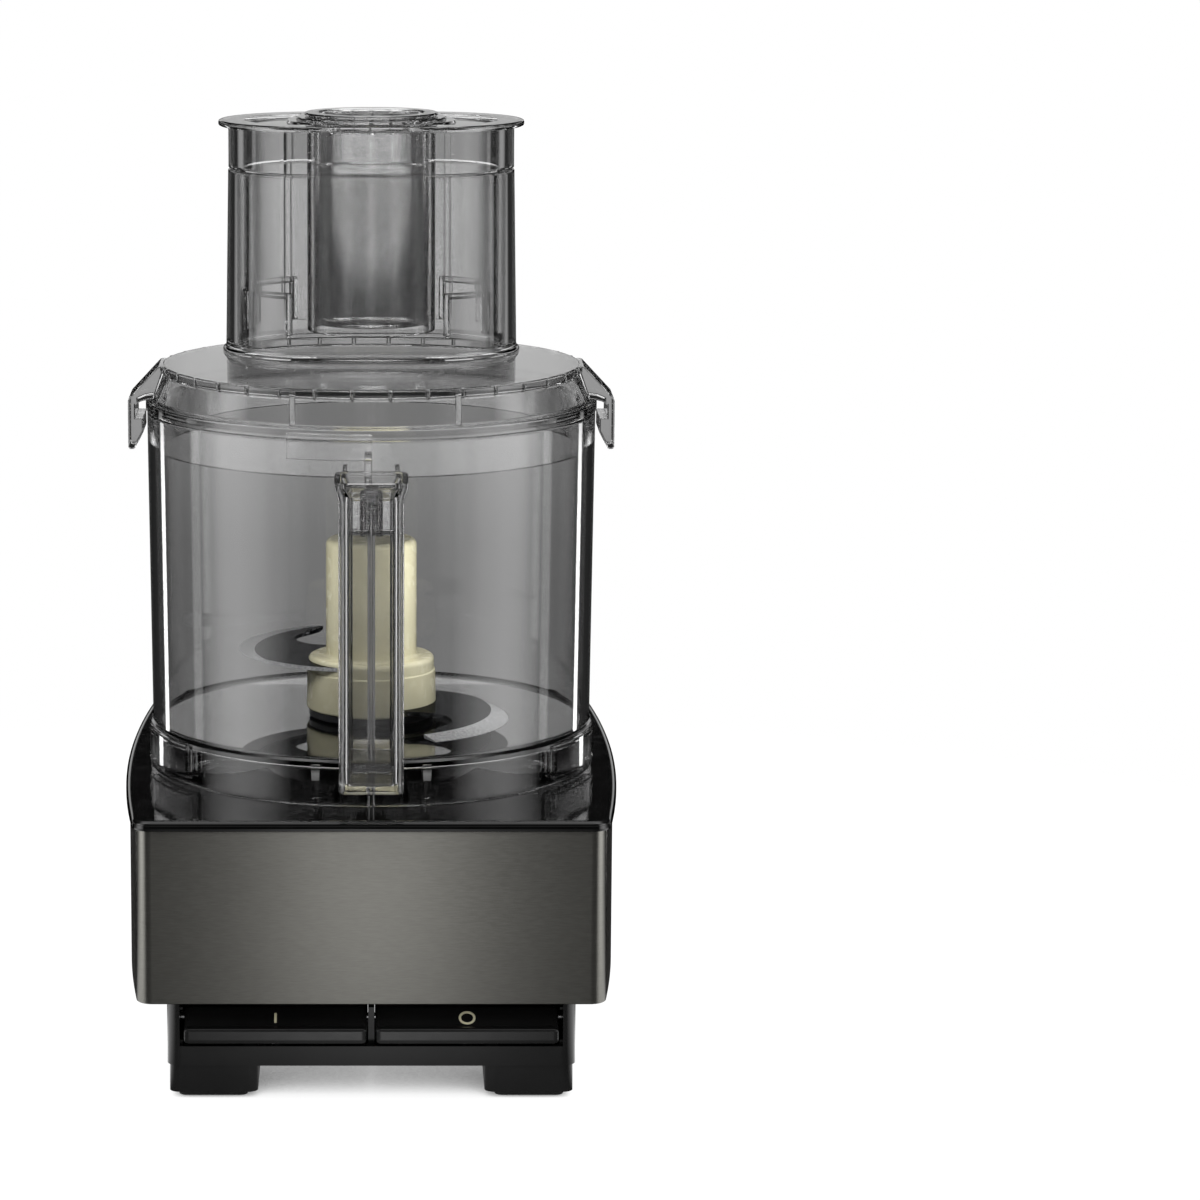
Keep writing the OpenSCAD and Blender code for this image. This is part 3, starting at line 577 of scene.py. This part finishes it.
def wall_light(tree, away, elevation, depth):
    """What shows through clear walls; depth counts the walls that a ray has crossed."""
    wave = maths(tree, "COSINE", maths(tree, "MULTIPLY", away, PANELS * math.pi / 180))
    panels = spread(tree, wave, 0, 1, (0.1, 0.9))
    lit = ramp(tree, elevation, [(-90, 0.6), (-40, 0.42), (-10, 0.40), (-8, 0.62), (-3, 0.62), (1, 0.04),
                                 (28, 0.04), (38, 1.6), (90, 1.6)])
    dim = ramp(tree, elevation, [(-90, 0.3), (-40, 0.07), (-3, 0.03), (4, 0.03), (28, 0.04), (38, 1.6),
                                 (90, 1.6)])
    # Light that has crossed many walls is lifted, so that nested parts stay readable
    lift = ramp(tree, depth, [(0, 0.5), (4, 1), (8, 3.6), (12, 9), (16, 34), (20, 50), (24, 50)])
    through = mix_colour(tree, panels, dim, maths(tree, "MULTIPLY", lit, lift))
    # A low card that the bowl's floor mirrors; rays that crossed more walls don't see it
    card = ramp(tree, elevation, [(9.5, 0.0), (10.8, 1.0), (14, 1.0), (16, 0.0)])
    card = maths(tree, "MULTIPLY", card, maths(tree, "LESS_THAN", depth, 4.5))
    through = maths(tree, "MULTIPLY_ADD", card, 1.3, through)
    # A strip below the horizon on each side, a little behind the machine's flank
    flank = ramp(tree, away, [(0, 0.0), (100, 0.0), (102, 1.0), (107, 1.0), (109, 0.0), (180, 0.0)])
    flank = maths(tree, "MULTIPLY", flank, ramp(tree, elevation, [(-24, 1.0), (-2, 1.0), (0, 0.0),
                                                                  (4, 0.0)]))
    return maths(tree, "MULTIPLY_ADD", flank, 2.2, through)


def gloss_light(tree, away, elevation):
    """What polished surfaces mirror: the two side strips, a band of sky and a thin line."""
    height = ramp(tree, elevation, [(-90, 0.3), (-30, 0.8), (-5, 1.0), (-1, 0.5), (1, 0.02), (10, 0.02),
                                    (12, 1.6), (22, 1.6), (26, 0.1), (36, 0.5), (90, 0.5)])
    strips = maths(tree, "MULTIPLY", side_strips(tree, away), height)
    sky = ramp(tree, elevation, [(-90, 0.0), (2, 0.0), (5, 0.76), (9.5, 0.76), (11, 0.004), (28, 0.01),
                                 (50, 0.1), (62, 1.4), (90, 1.4)])
    # A thin upright light behind each side draws the white line inside the bowl's edge
    line = ramp(tree, away, [(0, 0.0), (133, 0.0), (134, 1.0), (137.5, 1.0), (139, 0.0), (180, 0.0)])
    line = maths(tree, "MULTIPLY", line, ramp(tree, elevation, [(-20, 1.0), (-9.5, 1.0), (-8, 0.0),
                                                                (0, 0.0)]))
    return maths(tree, "MULTIPLY_ADD", line, 8.0, maths(tree, "MULTIPLY_ADD", strips, 3.5, sky))


def make_light(name, location, target, size, energy, inside=False):
    """A rectangular light that the camera and clear walls don't show; inside ones aren't mirrored."""
    data = bpy.data.lights.new(name, "AREA")
    data.shape = "RECTANGLE"
    data.size, data.size_y = size
    data.energy = energy
    light = bpy.data.objects.new(name, data)
    bpy.context.scene.collection.objects.link(light)
    light.location = location
    light.rotation_euler = (Vector(target) - Vector(location)).to_track_quat("-Z", "Y").to_euler()
    light.visible_camera = False
    light.visible_transmission = False
    light.visible_glossy = not inside
    return light


def light_only(light, pieces):
    """The light reaches only these pieces."""
    group = bpy.data.collections.new(light.name + "_receivers")
    for piece in pieces:
        group.objects.link(piece)
    light.light_linking.receiver_collection = group


def set_cycles():
    """Lets light pass through the many clear walls."""
    cycles = bpy.context.scene.cycles
    cycles.max_bounces = 32
    cycles.transmission_bounces = 32
    cycles.glossy_bounces = 8
    cycles.transparent_max_bounces = 16
    cycles.sample_clamp_indirect = 6
    bpy.context.scene.view_settings.view_transform = "Standard"


# ---- Base -----------------------------------------------------------------------------------

def make_deck():
    """Glossy deck with a rolled lip, the raised ring and the locking cleats under the bowl."""
    low = span("steel_band")[1].z
    top = span("work_bowl")[0].z - 0.1
    lip = [(3, -3), (3, 0), (0.9, 0), (0.25, 0.25), (0, 0.9), (0, 1.2), (0, 2.2), (0, 2.5), (0.35, 3.3),
           (1.1, 3.9), (2.0, top - low), (2.6, top - low)]
    bm = bmesh.new()
    outer = add_loft(bm, [ring_at(base_outline(d), low + z) for d, z in lip], (True, False))[-1]
    ring_in, ring_out, ring_top = 66, 70, span("top_deck")[1].z
    raised = fillet([(ring_in, top), (ring_out, top), (ring_out, ring_top), (ring_in, ring_top)],
                    (0, 0, 0.8, 0.8), 3)
    raised = raised[1:] + raised[:1]
    rings = lathe(bm, raised, closed=False)
    fill(bm, [outer, rings[0]])
    fill(bm, [rings[-1]])
    cleat_in, cleat_out, cleat_low, cleat_top = ring_out - 0.2, 76, 122, 125
    cleat = [(cleat_in, cleat_low), (cleat_out, cleat_low), (cleat_out, cleat_top), (cleat_in, cleat_top)]
    for a in LOCKS:
        add_arc(bm, fillet(cleat, 0.5, 2), a - LOCK_HALF, a + LOCK_HALF, 12)
    finish_mesh("deck", bm, "base", GLOSS, ["top_deck"])


def make_band():
    """Brushed wrap: a thin shell that follows the base's outline."""
    lo, hi = span("steel_band")
    outer, inner = 1.5, 2.5
    steps = [(outer + 0.3, lo.z), (outer, lo.z + 0.3), (outer, lo.z + 0.6), (outer, hi.z), (inner, hi.z),
             (inner, lo.z)]
    bm = bmesh.new()
    add_loft(bm, [ring_at(base_outline(d), z) for d, z in steps], closed=True)
    return finish_mesh("band", bm, "base", BAND, ["steel_band"])


def make_feet():
    """Four rubber pads with rounded edges."""
    for node in ("foot_front_left", "foot_front_right", "foot_rear_left", "foot_rear_right"):
        lo, hi = span(node)
        bm = bmesh.new()
        corners = [(lo.x, lo.y), (hi.x, lo.y), (hi.x, hi.y), (lo.x, hi.y)]
        add_prism(bm, corners, 3, lo.z, hi.z, upright, 0.5)
        finish_mesh(node + "_pad", bm, "base", RUBBER, [node])


def make_lever(node, name):
    """Long control lever: rounded front bar, and a top that slopes back under the band."""
    lo, hi = span(node)
    front, back, top = lo.y, hi.y, 30.1
    foot, crest, foot_z = front + 4.2, front + 12, top - 0.2
    corners = [(front + 0.5, top), (front, lo.z), (front + 5, lo.z), (back, top - 4), (back, hi.z),
               (crest, hi.z), (foot, foot_z)]
    radii = (1.3, 1.6, 0.8, 0.5, 0.5, 1.5, 1.2)
    bm = bmesh.new()
    add_prism(bm, corners, radii, lo.x, hi.x, along_x, 1.8)
    finish_mesh(name, bm, node, SATIN, [node])
    slope = (hi.z - foot_z) / (crest - foot)
    middle, centre = (lo.x + hi.x) / 2, foot + 3.4

    def laid(u, v, w):
        return (middle + u, centre + v, foot_z + (centre + v - foot) * slope + w)

    make_mark(name + "_mark", node, laid, is_bar=middle < 0)


def make_mark(name, body, laid, is_bar):
    """A plain bar for the left lever or a ring for the right one; laid puts it on the slope."""
    sunk, proud = -0.2, 0.15
    bm = bmesh.new()
    if is_bar:
        bar = [(-0.5, -2), (0.5, -2), (0.5, 2), (-0.5, 2)]
        add_prism(bm, bar, 0.3, sunk, proud, laid, 0.08, 2)
    else:
        inner, outer, squeeze = 2.4, 3.3, 0.8
        ring = [(inner, sunk), (outer, sunk), (outer, proud), (inner, proud)]
        turn = [2 * math.pi * i / 48 for i in range(48)]
        add_loft(bm, [[laid(r * math.cos(a), squeeze * r * math.sin(a), w) for r, w in ring] for a in turn],
                 closed=True)
    finish_mesh(name, bm, body, IVORY)


# ---- Blade ----------------------------------------------------------------------------------

def make_hub():
    """Ivory hub: wide skirt with a grooved shoulder, and a tall round stem."""
    lo, hi = span("blade_hub")
    r, step, stem = hi.x, 157.8, 18.6
    shaft_r, bore_r, shaft_top, bore_top = 5.1, 13.6, 199, 184
    profile = fillet([(0, shaft_top), (shaft_r, shaft_top), (shaft_r, bore_top), (bore_r, bore_top),
                      (bore_r, lo.z), (r, lo.z), (r - 0.4, step - 6), (r - 0.9, step - 5.5), (r - 0.9, step),
                      (stem, step), (stem, hi.z), (0, hi.z)],
                     (0, 0, 0, 0.5, 0.3, 0.8, 0.3, 0.2, 1.8, 1.5, 2.6, 0), 5)
    bm = bmesh.new()
    lathe(bm, profile, closed=False, segments=96)
    finish_mesh("hub", bm, "blade", IVORY, ["blade_hub"])
    lo, hi = span("hub_ring")
    bm = bmesh.new()
    lathe(bm, fillet([(bore_r, lo.z), (hi.x, lo.z), (hi.x, hi.z), (bore_r, hi.z)], 0.5, 2), segments=96)
    finish_mesh("hub_foot", bm, "blade", GREY, ["hub_ring"])


def make_blade(node, name, turn):
    """Sickle blade with a hollow inner edge, a blunt tip and a serrated ground bevel."""
    lo, hi = span(node)
    rim, inner = bevel_lines()
    notch = [Vector(p) for p in arc(16.2, -42.9, 16.2, -47.7, 95, 24)]
    tip, root = Vector((22.2, -63.2)), [Vector((8, -16)), Vector((0, 0))]
    spin = Matrix.Rotation(math.radians(turn), 2)
    body = [tuple(spin @ p) for p in inner + [tip] + notch + root]
    bm = bmesh.new()
    low = new_loop(bm, ring_at(body, lo.z))
    high = new_loop(bm, ring_at(body, hi.z))
    bridge(bm, low, high)
    fill(bm, [low])
    fill(bm, [high])
    finish_mesh(name, bm, "blade", BLADE, [node], sharp=20)
    bm = bmesh.new()
    strip = []
    for p, q in zip(rim, inner):
        (px, py), (qx, qy) = spin @ p, spin @ q
        strip.append([(qx, qy, lo.z), (px, py, lo.z), (px, py, lo.z + 0.25), (qx, qy, hi.z)])
    add_loft(bm, strip)
    finish_mesh(name + "_edge", bm, "blade", EDGE, sharp=20)


def bevel_lines(steps=150):
    """The blade's toothed outer edge and the line where its bevel starts, in plan."""
    outer_c, outer_r = Vector((2.8, -29.5)), 52.5
    grind_c, grind_r = Vector((-8, -20.3)), 56.7
    start, sweep, tooth_depth = 90, 154.6, 0.45
    rim, inner = [], []
    for i in range(steps + 1):
        a = math.radians(start - sweep * i / steps)
        point = outer_c + outer_r * Vector((math.cos(a), math.sin(a)))
        arm = point - grind_c
        wide = max(0.05, arm.length - grind_r)
        tooth = tooth_depth * (i % 3 == 1) if wide > 1 else 0
        rim.append(point - arm.normalized() * tooth)
        inner.append(point - arm.normalized() * wide)
    return rim, inner


# ---- Bowl -----------------------------------------------------------------------------------

def make_bowl():
    """Clear bowl: floor, wall, centre tube and skirt, with lugs, ribs and locking tabs."""
    lo, hi = span("work_bowl")
    floor_z = span("hub_ring")[0].z - 0.6
    rim_r, foot_r, wall = hi.x, 89.8, 2.8
    tube_in, tube_out, tube_top = 10.4, 12.8, 182
    skirt_in = SKIRT_R - wall
    profile = fillet([(tube_in, floor_z - wall), (skirt_in, floor_z - wall), (skirt_in, lo.z),
                      (SKIRT_R, lo.z), (SKIRT_R, floor_z - 0.6), (foot_r, floor_z + 0.5), (rim_r, hi.z),
                      (rim_r - wall, hi.z), (foot_r - wall, floor_z), (tube_out, floor_z),
                      (tube_out, tube_top), (tube_in, tube_top)],
                     (0.3, 1, 0.4, 0.5, 0.5, 0.5, 0.8, 0.8, 1.4, 1.5, 0.9, 0.9), 5)
    bm = bmesh.new()
    lathe(bm, profile, segments=192)
    for a in (25, 155, 205, 335):
        add_lug(bm, a)
    tab = fillet([(71.5, 118), (88.2, 118), (88.2, 121.5), (73, 121.5), (71.5, 120)], 0.4, 2)
    for a in LOCKS:
        add_arc(bm, tab, a - LOCK_HALF, a + LOCK_HALF, 12)
    for x in (-22, 22):
        add_skirt_rib(bm, x, lo.z)
    finish_mesh("bowl", bm, "bowl", CLEAR, ["work_bowl"])


def add_lug(bm, a):
    """A shallow box on the bowl's skirt, open below, with its middle at angle a."""
    root, skin, out, low, top = SKIRT_R - 0.1, 91.7, 92.6, 118, 131.3
    shell = [(root, 130), (skin, 129), (skin, low), (out, low), (out, top), (root, top)]
    add_arc(bm, fillet(shell, (0, 0.3, 0.3, 0.3, 0.5, 0), 2), a - 11.4, a + 11.4, 14)
    for side in (-12.2, 12.2):
        end = fillet([(root, low), (out, low), (out, top), (root, top)], (0, 0.4, 0.5, 0), 2)
        add_arc(bm, end, a + side - 0.8, a + side + 0.8, 2)


def add_skirt_rib(bm, x, low):
    """An upright rib on the skirt's front at x, with a small square foot."""
    skin = -math.sqrt(SKIRT_R ** 2 - x ** 2)
    back = skin + 0.3
    rings = [[(x - w, skin - out, z), (x + w, skin - out, z), (x + w, back, z), (x - w, back, z)]
             for w, out, z in ((0.9, 1.6, low + 3.2), (1.0, 1.7, low + 3.5), (1.8, 1.9, 130.6),
                               (1.6, 1.5, 131.2))]
    add_loft(bm, rings)
    foot = [(x - 1, skin - 2.1), (x + 1, skin - 2.1), (x + 1, back), (x - 1, back)]
    add_prism(bm, foot, 0.3, low, low + 3.1, upright, 0.25)


def make_handle():
    """Hollow clear handle: flared mouth on top, two arms to the bowl and a guide for the rod."""
    lo, hi = span("bowl_handle")
    front, back, half, mouth = lo.y, -108.5, 12.5, 243
    # Half width, distance drawn in and height, up the outside and down the inside
    shell = [(half - 0.9, 0.9, lo.z), (half - 0.25, 0.25, lo.z + 0.3), (half, 0, lo.z + 1),
             (half, 0, lo.z + 1.5), (half, 0, mouth - 0.5), (half, 0, mouth), (half + 0.5, -0.3, mouth + 3),
             (hi.x, -0.6, hi.z - 2.2), (hi.x, -0.6, hi.z - 0.4), (hi.x - 0.4, -0.2, hi.z)]
    hollow = [(11.9, 0.3, hi.z), (11.5, 0.7, hi.z - 0.4), (11.5, 0.7, hi.z - 2.2), (9.9, 2.3, mouth + 2),
              (9.9, 2.3, mouth + 1.5), (9.9, 2.5, lo.z + 4.4), (9.9, 2.5, lo.z + 4),
              (9.5, 2.8, lo.z + 3.3), (8.8, 3.4, lo.z + 3)]
    rings = []
    for w, d, z in shell:
        rings.append(ring_at(round_rect(-w, w, max(front, front + d), back - max(0, d), 3.5), z))
    for w, d, z in hollow:
        rings.append(ring_at(round_rect(-w, w, front + d, back - min(4, d + 1.5), 2.6), z))
    bm = bmesh.new()
    add_loft(bm, rings)
    arm, arm_top, root = 11, 142, back - 0.3
    guide_low, guide_top = 226, 240
    for z0, z1 in ((lo.z, arm_top), (guide_low, guide_top)):
        plan = [(-arm, root), (arm, root)] + arc(0, 0, 90.75, -83, -97, 8)
        add_prism(bm, plan, 0, z0, z1, upright, 0.5)
    for x0, x1 in ((-arm, 1.8 - arm), (arm - 1.8, arm)):
        plan = [(x0, root), (x1, root), (x1, -90.6), (x0, -90.6)]
        add_prism(bm, plan, 0, guide_top - 0.2, hi.z, upright, 0.3)
    guide = [(3.45, guide_low), (4.4, guide_low), (4.4, guide_top), (3.45, guide_top)]
    lathe(bm, fillet(guide, 0.2, 1), segments=40, centre=(0, ROD_Y))
    seam = [(-0.25, front + 2.4), (0.25, front + 2.4), (0.12, front + 2.9), (-0.12, front + 2.9)]
    add_prism(bm, seam, 0, lo.z + 5, mouth - 2, upright, 0.08)
    finish_mesh("handle", bm, "bowl", CLEAR, ["bowl_handle"])


def make_rod():
    """Clear rod with a head, which the lid pushes down."""
    lo, hi = span("interlock_rod")
    stem, head, neck = 1.5, 2.9, hi.z - 4
    profile = fillet([(0, lo.z), (stem, lo.z), (stem, neck), (head, neck), (head, hi.z), (0, hi.z)],
                     (0, 0.5, 0.3, 0.5, 0.6, 0), 3)
    bm = bmesh.new()
    lathe(bm, profile, closed=False, segments=32, centre=(0, ROD_Y))
    finish_mesh("rod", bm, "interlock_rod", CLEAR, ["interlock_rod"])


def make_spring(node, body, turns, wire):
    """Coil spring of round wire."""
    lo, hi = span(node)
    r, mid = (hi.x - lo.x) / 2 - wire, (lo + hi) / 2
    rise = hi.z - lo.z - 2 * wire
    steps = turns * 20
    section = [2 * math.pi * k / 10 for k in range(10)]
    rings = []
    for i in range(steps + 1):
        a = 2 * math.pi * turns * i / steps
        # The coils close up towards both ends, as on a real compression spring
        t = i / steps
        z = lo.z + wire + rise * (0.65 * t + 0.35 * (0.5 - 0.5 * math.cos(math.pi * t)))
        ring = [(r + wire * math.cos(b), z + wire * math.sin(b)) for b in section]
        rings.append([(mid.x + w * math.cos(a), mid.y + w * math.sin(a), h) for w, h in ring])
    bm = bmesh.new()
    add_loft(bm, rings)
    piece = finish_mesh(node + "_coil", bm, body, STEEL, [node])
    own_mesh(piece)


# ---- Lid ------------------------------------------------------------------------------------

def nub_angles():
    """Angles around the lid's edge, closer together at each small nub."""
    nub = [NUB_STEP / 2 + n for n in (-0.65, -0.5, -0.3, 0, 0.3, 0.5, 0.65)]
    near = [0, 1.7, 3.3] + nub + [6.7, 8.3]
    return [NUB_STEP * i + a for i in range(360 // NUB_STEP) for a in near]


def make_lid():
    """Clear lid: flat top with the feed opening, nubbed edge, flared side, flange and plug."""
    lo, hi = span("lid_cover")
    top, low, r, flange, ledge = hi.z, lo.z, 85.0, 91.7, 264.3

    def edge(a):
        """The lid's profile at angle a: the nub swells its upper edge."""
        n = (a % NUB_STEP - NUB_STEP / 2) / 0.65
        nub = 0.8 * math.sqrt(1 - n * n) if abs(n) < 1 else 0
        return [(r - 1.2, top), (r - 0.5, top), (r - 0.12 + nub, top - 0.15), (r + nub, top - 0.5),
                (r + nub, top - 0.8), (r + nub, top - 2.6), (r + 0.9 * nub, top - 3.0),
                (r - 0.3 + 0.8 * nub, top - 3.4), (r - 0.6, top - 3.7 - 0.5 * nub)] + side

    side = fillet([(r - 0.6, top - 4.0), (r - 0.41, top - 4.5), (88.3, ledge), (flange, ledge),
                   (flange, ledge - 4.3), (87.2, ledge - 4.3), (87.2, low), (r, low),
                   (r, ledge - 3.7), (86, ledge - 0.3), (82.4, top - 3), (80, top - 3)],
                  (0, 0, 1.5, 0.8, 0.5, 0.6, 0.6, 0.6, 1, 1, 1.5, 0), 4)
    bm = bmesh.new()
    rings = lathe(bm, edge, closed=False, angles=nub_angles())
    upper = new_loop(bm, ring_at(oval(FEED_R), top))
    lower = new_loop(bm, ring_at(oval(FEED_R), top - 3))
    fill(bm, [rings[0], upper])
    fill(bm, [rings[-1], lower])
    bridge(bm, upper, lower)
    for x in (-30.7, 33.9):
        out = -math.sqrt((flange - 0.1) ** 2 - x ** 2)
        skin = -math.sqrt(r ** 2 - x ** 2)
        web = [(out, ledge - 0.3), (out, ledge + 2.7), (skin - 0.6, top - 1), (skin + 0.4, top - 1),
               (out + 4, ledge - 0.3)]
        add_prism(bm, web, (0.3, 0.6, 0.5, 0, 0), x - 1.2, x + 1.2, along_x, 0.3)
    add_lid_catches(bm, low, top)
    finish_mesh("lid", bm, "lid", CLEAR, ["lid_cover"])


def add_lid_catches(bm, low, top):
    """A hook at each side, the front tab and the fin that pushes the rod down."""
    hook = [(83.5, top), (86, top), (98.4, 265.2), (98.4, low + 0.2), (95.8, low + 0.2), (92.3, 251.5),
            (92.3, 257.6), (95.4, 257.6), (95.4, 263.2), (92, 264.6), (88, 265.2)]
    radii = (0.5, 1.6, 2.4, 1.2, 1.0, 0.6, 0.3, 0.3, 1.0, 0.6, 0.5)
    for sign in (-1, 1):
        add_prism(bm, hook, radii, -14, 14, lambda u, v, w, s=sign: (s * u, w, v), 0.5)
    tab = [(92.4, 252.2), (94.6, 252.2), (94.6, 262.5), (91.3, 262.5), (91.3, 260.4), (92.4, 260.4)]
    add_arc(bm, fillet(tab, (0.3, 0.6, 0.6, 0, 0, 0.3), 2), -110.5, -89.8, 16)
    fin = [(-112, 245.3), (-92.4, 245.3), (-92.4, 256), (-112, 256)]
    add_prism(bm, fin, (1.2, 0, 0, 1.5), -2.6, 0.3, along_x, 0.3)


def make_tube():
    """Clear feed tube: thicker towards its flared foot, with a rounded rim."""
    lo, hi = span("feed_tube")
    foot, r, inner, low, top = 40.6, 39.5, FEED_R, lo.z + 0.04, hi.z
    steps = [(foot + 1.4, low), (foot + 1.4, low + 0.9), (foot + 1.0, low + 1.6), (foot + 0.4, low + 2.0),
             (foot, low + 3), (foot, low + 4), (r, top - 1.2), (r, top - 0.8), (r - 0.25, top - 0.25),
             (r - 0.8, top), (inner + 0.6, top), (inner + 0.15, top - 0.2), (inner, top - 0.7),
             (inner, top - 1), (inner, low)]
    bm = bmesh.new()
    add_loft(bm, [ring_at(oval(d), z) for d, z in steps], closed=True)
    finish_mesh("tube", bm, "lid", CLEAR, ["feed_tube"])


# ---- Pushers --------------------------------------------------------------------------------

def notched_oval(r, low, notch):
    """Pusher outline whose low edge rises by notch at four places."""
    edges = [NOTCH_LEFT, NOTCH_RIGHT]
    points = []
    outline = oval(r, 60)
    for (x0, y0), (x1, y1) in zip(outline, outline[1:] + outline[:1]):
        points.append((x0, y0))
        cuts = sorted((c - x0) / (x1 - x0) for pair in edges for c in pair if (c - x0) * (c - x1) < 0)
        for t in cuts:
            x, y = x0 + t * (x1 - x0), y0 + t * (y1 - y0)
            points += [(x - 1e-3 * (x1 - x0), y), (x + 1e-3 * (x1 - x0), y)]
    raised = [any(a < x < b for a, b in edges) for x, y in points]
    return [(x, y, low + notch * up) for (x, y), up in zip(points, raised)]


def make_large_pusher():
    """Hollow pusher with castellated foot, collar, wide flange and the small feed tube through it."""
    low, flange = span("large_pusher")[0].z, span("large_pusher")[1].z
    lo, hi = span("pusher_collar")
    out, wall, collar_r, edge_r = 35.5, 2.2, 39.3, 43.4
    notch, face = 18, flange + 2.4
    steps = [(out, 306), (out, lo.z - 0.4), (out, lo.z), (collar_r - 0.6, lo.z), (collar_r, lo.z + 0.5),
             (collar_r, lo.z + 1.2), (collar_r, flange - 1.2), (collar_r, flange - 0.3),
             (collar_r + 0.4, flange), (edge_r - 0.8, flange), (edge_r - 0.2, flange + 0.3),
             (edge_r, flange + 0.8), (edge_r, flange + 1.6), (edge_r - 0.2, flange + 2.1),
             (edge_r - 0.8, face), (edge_r - 1.4, face)]
    cavity = [(out - wall, flange - 0.1), (out - wall, 306)]
    skin = [notched_oval(out - wall, low, notch), notched_oval(out, low, notch)]
    upper = [notched_oval(d, z, 0) for d, z in steps]
    bm = bmesh.new()
    made = add_loft(bm, [notched_oval(d, z, 0) for d, z in cavity] + skin + upper, (False, False))
    add_notch_beads(bm, out, wall, low)
    small, bore, rim_r = 26.5, 24.3, 31
    tube = lathe(bm, [(small, flange - 0.1), (small, low + 0.3), (small - 0.3, low), (bore + 0.3, low),
                      (bore, low + 0.3), (bore, hi.z - 0.3), (bore + 0.3, hi.z), (rim_r - 0.6, hi.z),
                      (rim_r, hi.z - 0.4), (rim_r, face)], closed=False, centre=(0, tube_plan()[0]))
    fill(bm, [made[0], tube[0]])
    kidneys = [add_kidney(bm, sign, face) for sign in (-1, 1)]
    fill(bm, [made[-1], tube[-1]] + kidneys)
    finish_mesh("pusher", bm, "large_pusher", CLEAR, ["large_pusher", "pusher_collar"])


def add_notch_beads(bm, out, wall, low):
    """A raised frame inside each notch: a lintel over it and a post at each side."""
    middle, reach = tube_plan()
    frame_r = out - wall + 0.2
    inner, top = frame_r - 2.6, low + 18.6
    for sign, (x0, x1) in ((-1, (-NOTCH_LEFT[1], -NOTCH_LEFT[0])), (1, NOTCH_RIGHT)):
        a0, a1 = (math.degrees(math.acos((x - reach) / out)) for x in (x1, x0))
        for turn in (-1, 1):
            for start, end, z in ((a0, a1, low + 16), (a0 - 3, a0, low + 0.4), (a1, a1 + 3, low + 0.4)):
                bead = [(inner, z), (frame_r, z), (frame_r, top), (inner, top)]
                first, last = (turn * a if sign > 0 else 180 - turn * a for a in (start, end))
                add_arc(bm, fillet(bead, (1.1, 0, 0, 1.1), 4), first, last, 6, (sign * reach, middle))


def add_kidney(bm, sign, face):
    """A long shallow recess in the flange's face at one side; returns its rim."""
    middle = tube_plan()[0]
    plan = arc(19.6, middle, 33, -72, 72, 16) + arc(0, middle, 34.5, 52, -52, 12)
    plan = [(sign * x, y) for x, y in fillet(plan, [0] * 16 + [1.5, 1.5] + [0] * 11 + [1.5], 3)]
    rim = new_loop(bm, ring_at(plan, face))
    floor = new_loop(bm, ring_at(inset(plan, 0.5), face - 1.4))
    bridge(bm, rim, floor)
    fill(bm, [floor])
    return rim


def make_small_pusher():
    """Open clear cup with an overhanging rim and small ribs inside its mouth."""
    lo, hi = span("small_pusher")
    outer, bore, rim, top, bottom = 23.6, 21.5, 27.5, hi.z, lo.z + 2.4
    rib_step, rib_width = 22.5, 2.5

    def cup(a):
        """The cup's profile at angle a, with or without a rib."""
        rib = 1.0 if a % rib_step < rib_width else 0
        return [(0, lo.z), (outer - 0.8, lo.z), (outer - 0.2, lo.z + 0.3), (outer, lo.z + 0.9),
                (outer, top - 1.7), (outer, top - 1.6), (rim - 0.5, top - 1.6), (rim, top - 1.2),
                (rim, top - 0.5), (rim - 0.5, top), (bore + 0.9, top), (bore + 0.2, top - 0.5),
                (bore, top - 1.5), (bore - rib, top - 2), (bore - rib, top - 7), (bore, top - 7.6),
                (bore, bottom + 0.6), (bore - 0.6, bottom), (0, bottom)]

    near = (0, 0.1, 2.4, 2.5, 5, 8, 11, 14, 17, 20)
    angles = [rib_step * i + a for i in range(16) for a in near]
    bm = bmesh.new()
    lathe(bm, cup, closed=False, centre=(0, (lo.y + hi.y) / 2), angles=angles)
    finish_mesh("cup", bm, "small_pusher", CLEAR, ["small_pusher"])


def dress_nodes():
    """Every CAD node that still shows takes its slot's material."""
    slots = {s["node"]: s["material_slot"] for s in frame["record"]["subparts"]}
    for name, node in frame["nodes"].items():
        node.data.materials.clear()
        node.data.materials.append(SLOTS[slots[name]])


make_camera()
make_floor()
make_world()
front_strip = make_light("front_strip", (0, -0.46, 0.42), (0, -0.115, 0.075), (0.03, 0.3), 1.5)
for name, x, energy in (("hub_left", -0.055, 0.033), ("hub_right", 0.055, 0.065)):
    make_light(name, (x, -0.05, 0.205), (0, 0, 0.17), (0.03, 0.03), energy, inside=True)
set_cycles()
make_deck()
light_only(front_strip, [make_band()])
make_feet()
refined("carrier", ["band_carrier"], "base", SATIN, 0.3)
refined("housing", ["lower_housing"], "base", SATIN, 0.9, 3)
make_lever("on_lever", "lever_on")
make_lever("off_pulse_lever", "lever_off_pulse")
make_hub()
make_blade("lower_blade", "blade_low", 0)
make_blade("upper_blade", "blade_high", 180)
make_bowl()
make_handle()
make_rod()
make_spring("rod_spring", "bowl", 6, 0.35)
make_spring("on_spring", "base", 6, 0.4)
make_spring("pulse_spring", "base", 6, 0.4)
make_lid()
make_tube()
make_large_pusher()
make_small_pusher()
dress_nodes()
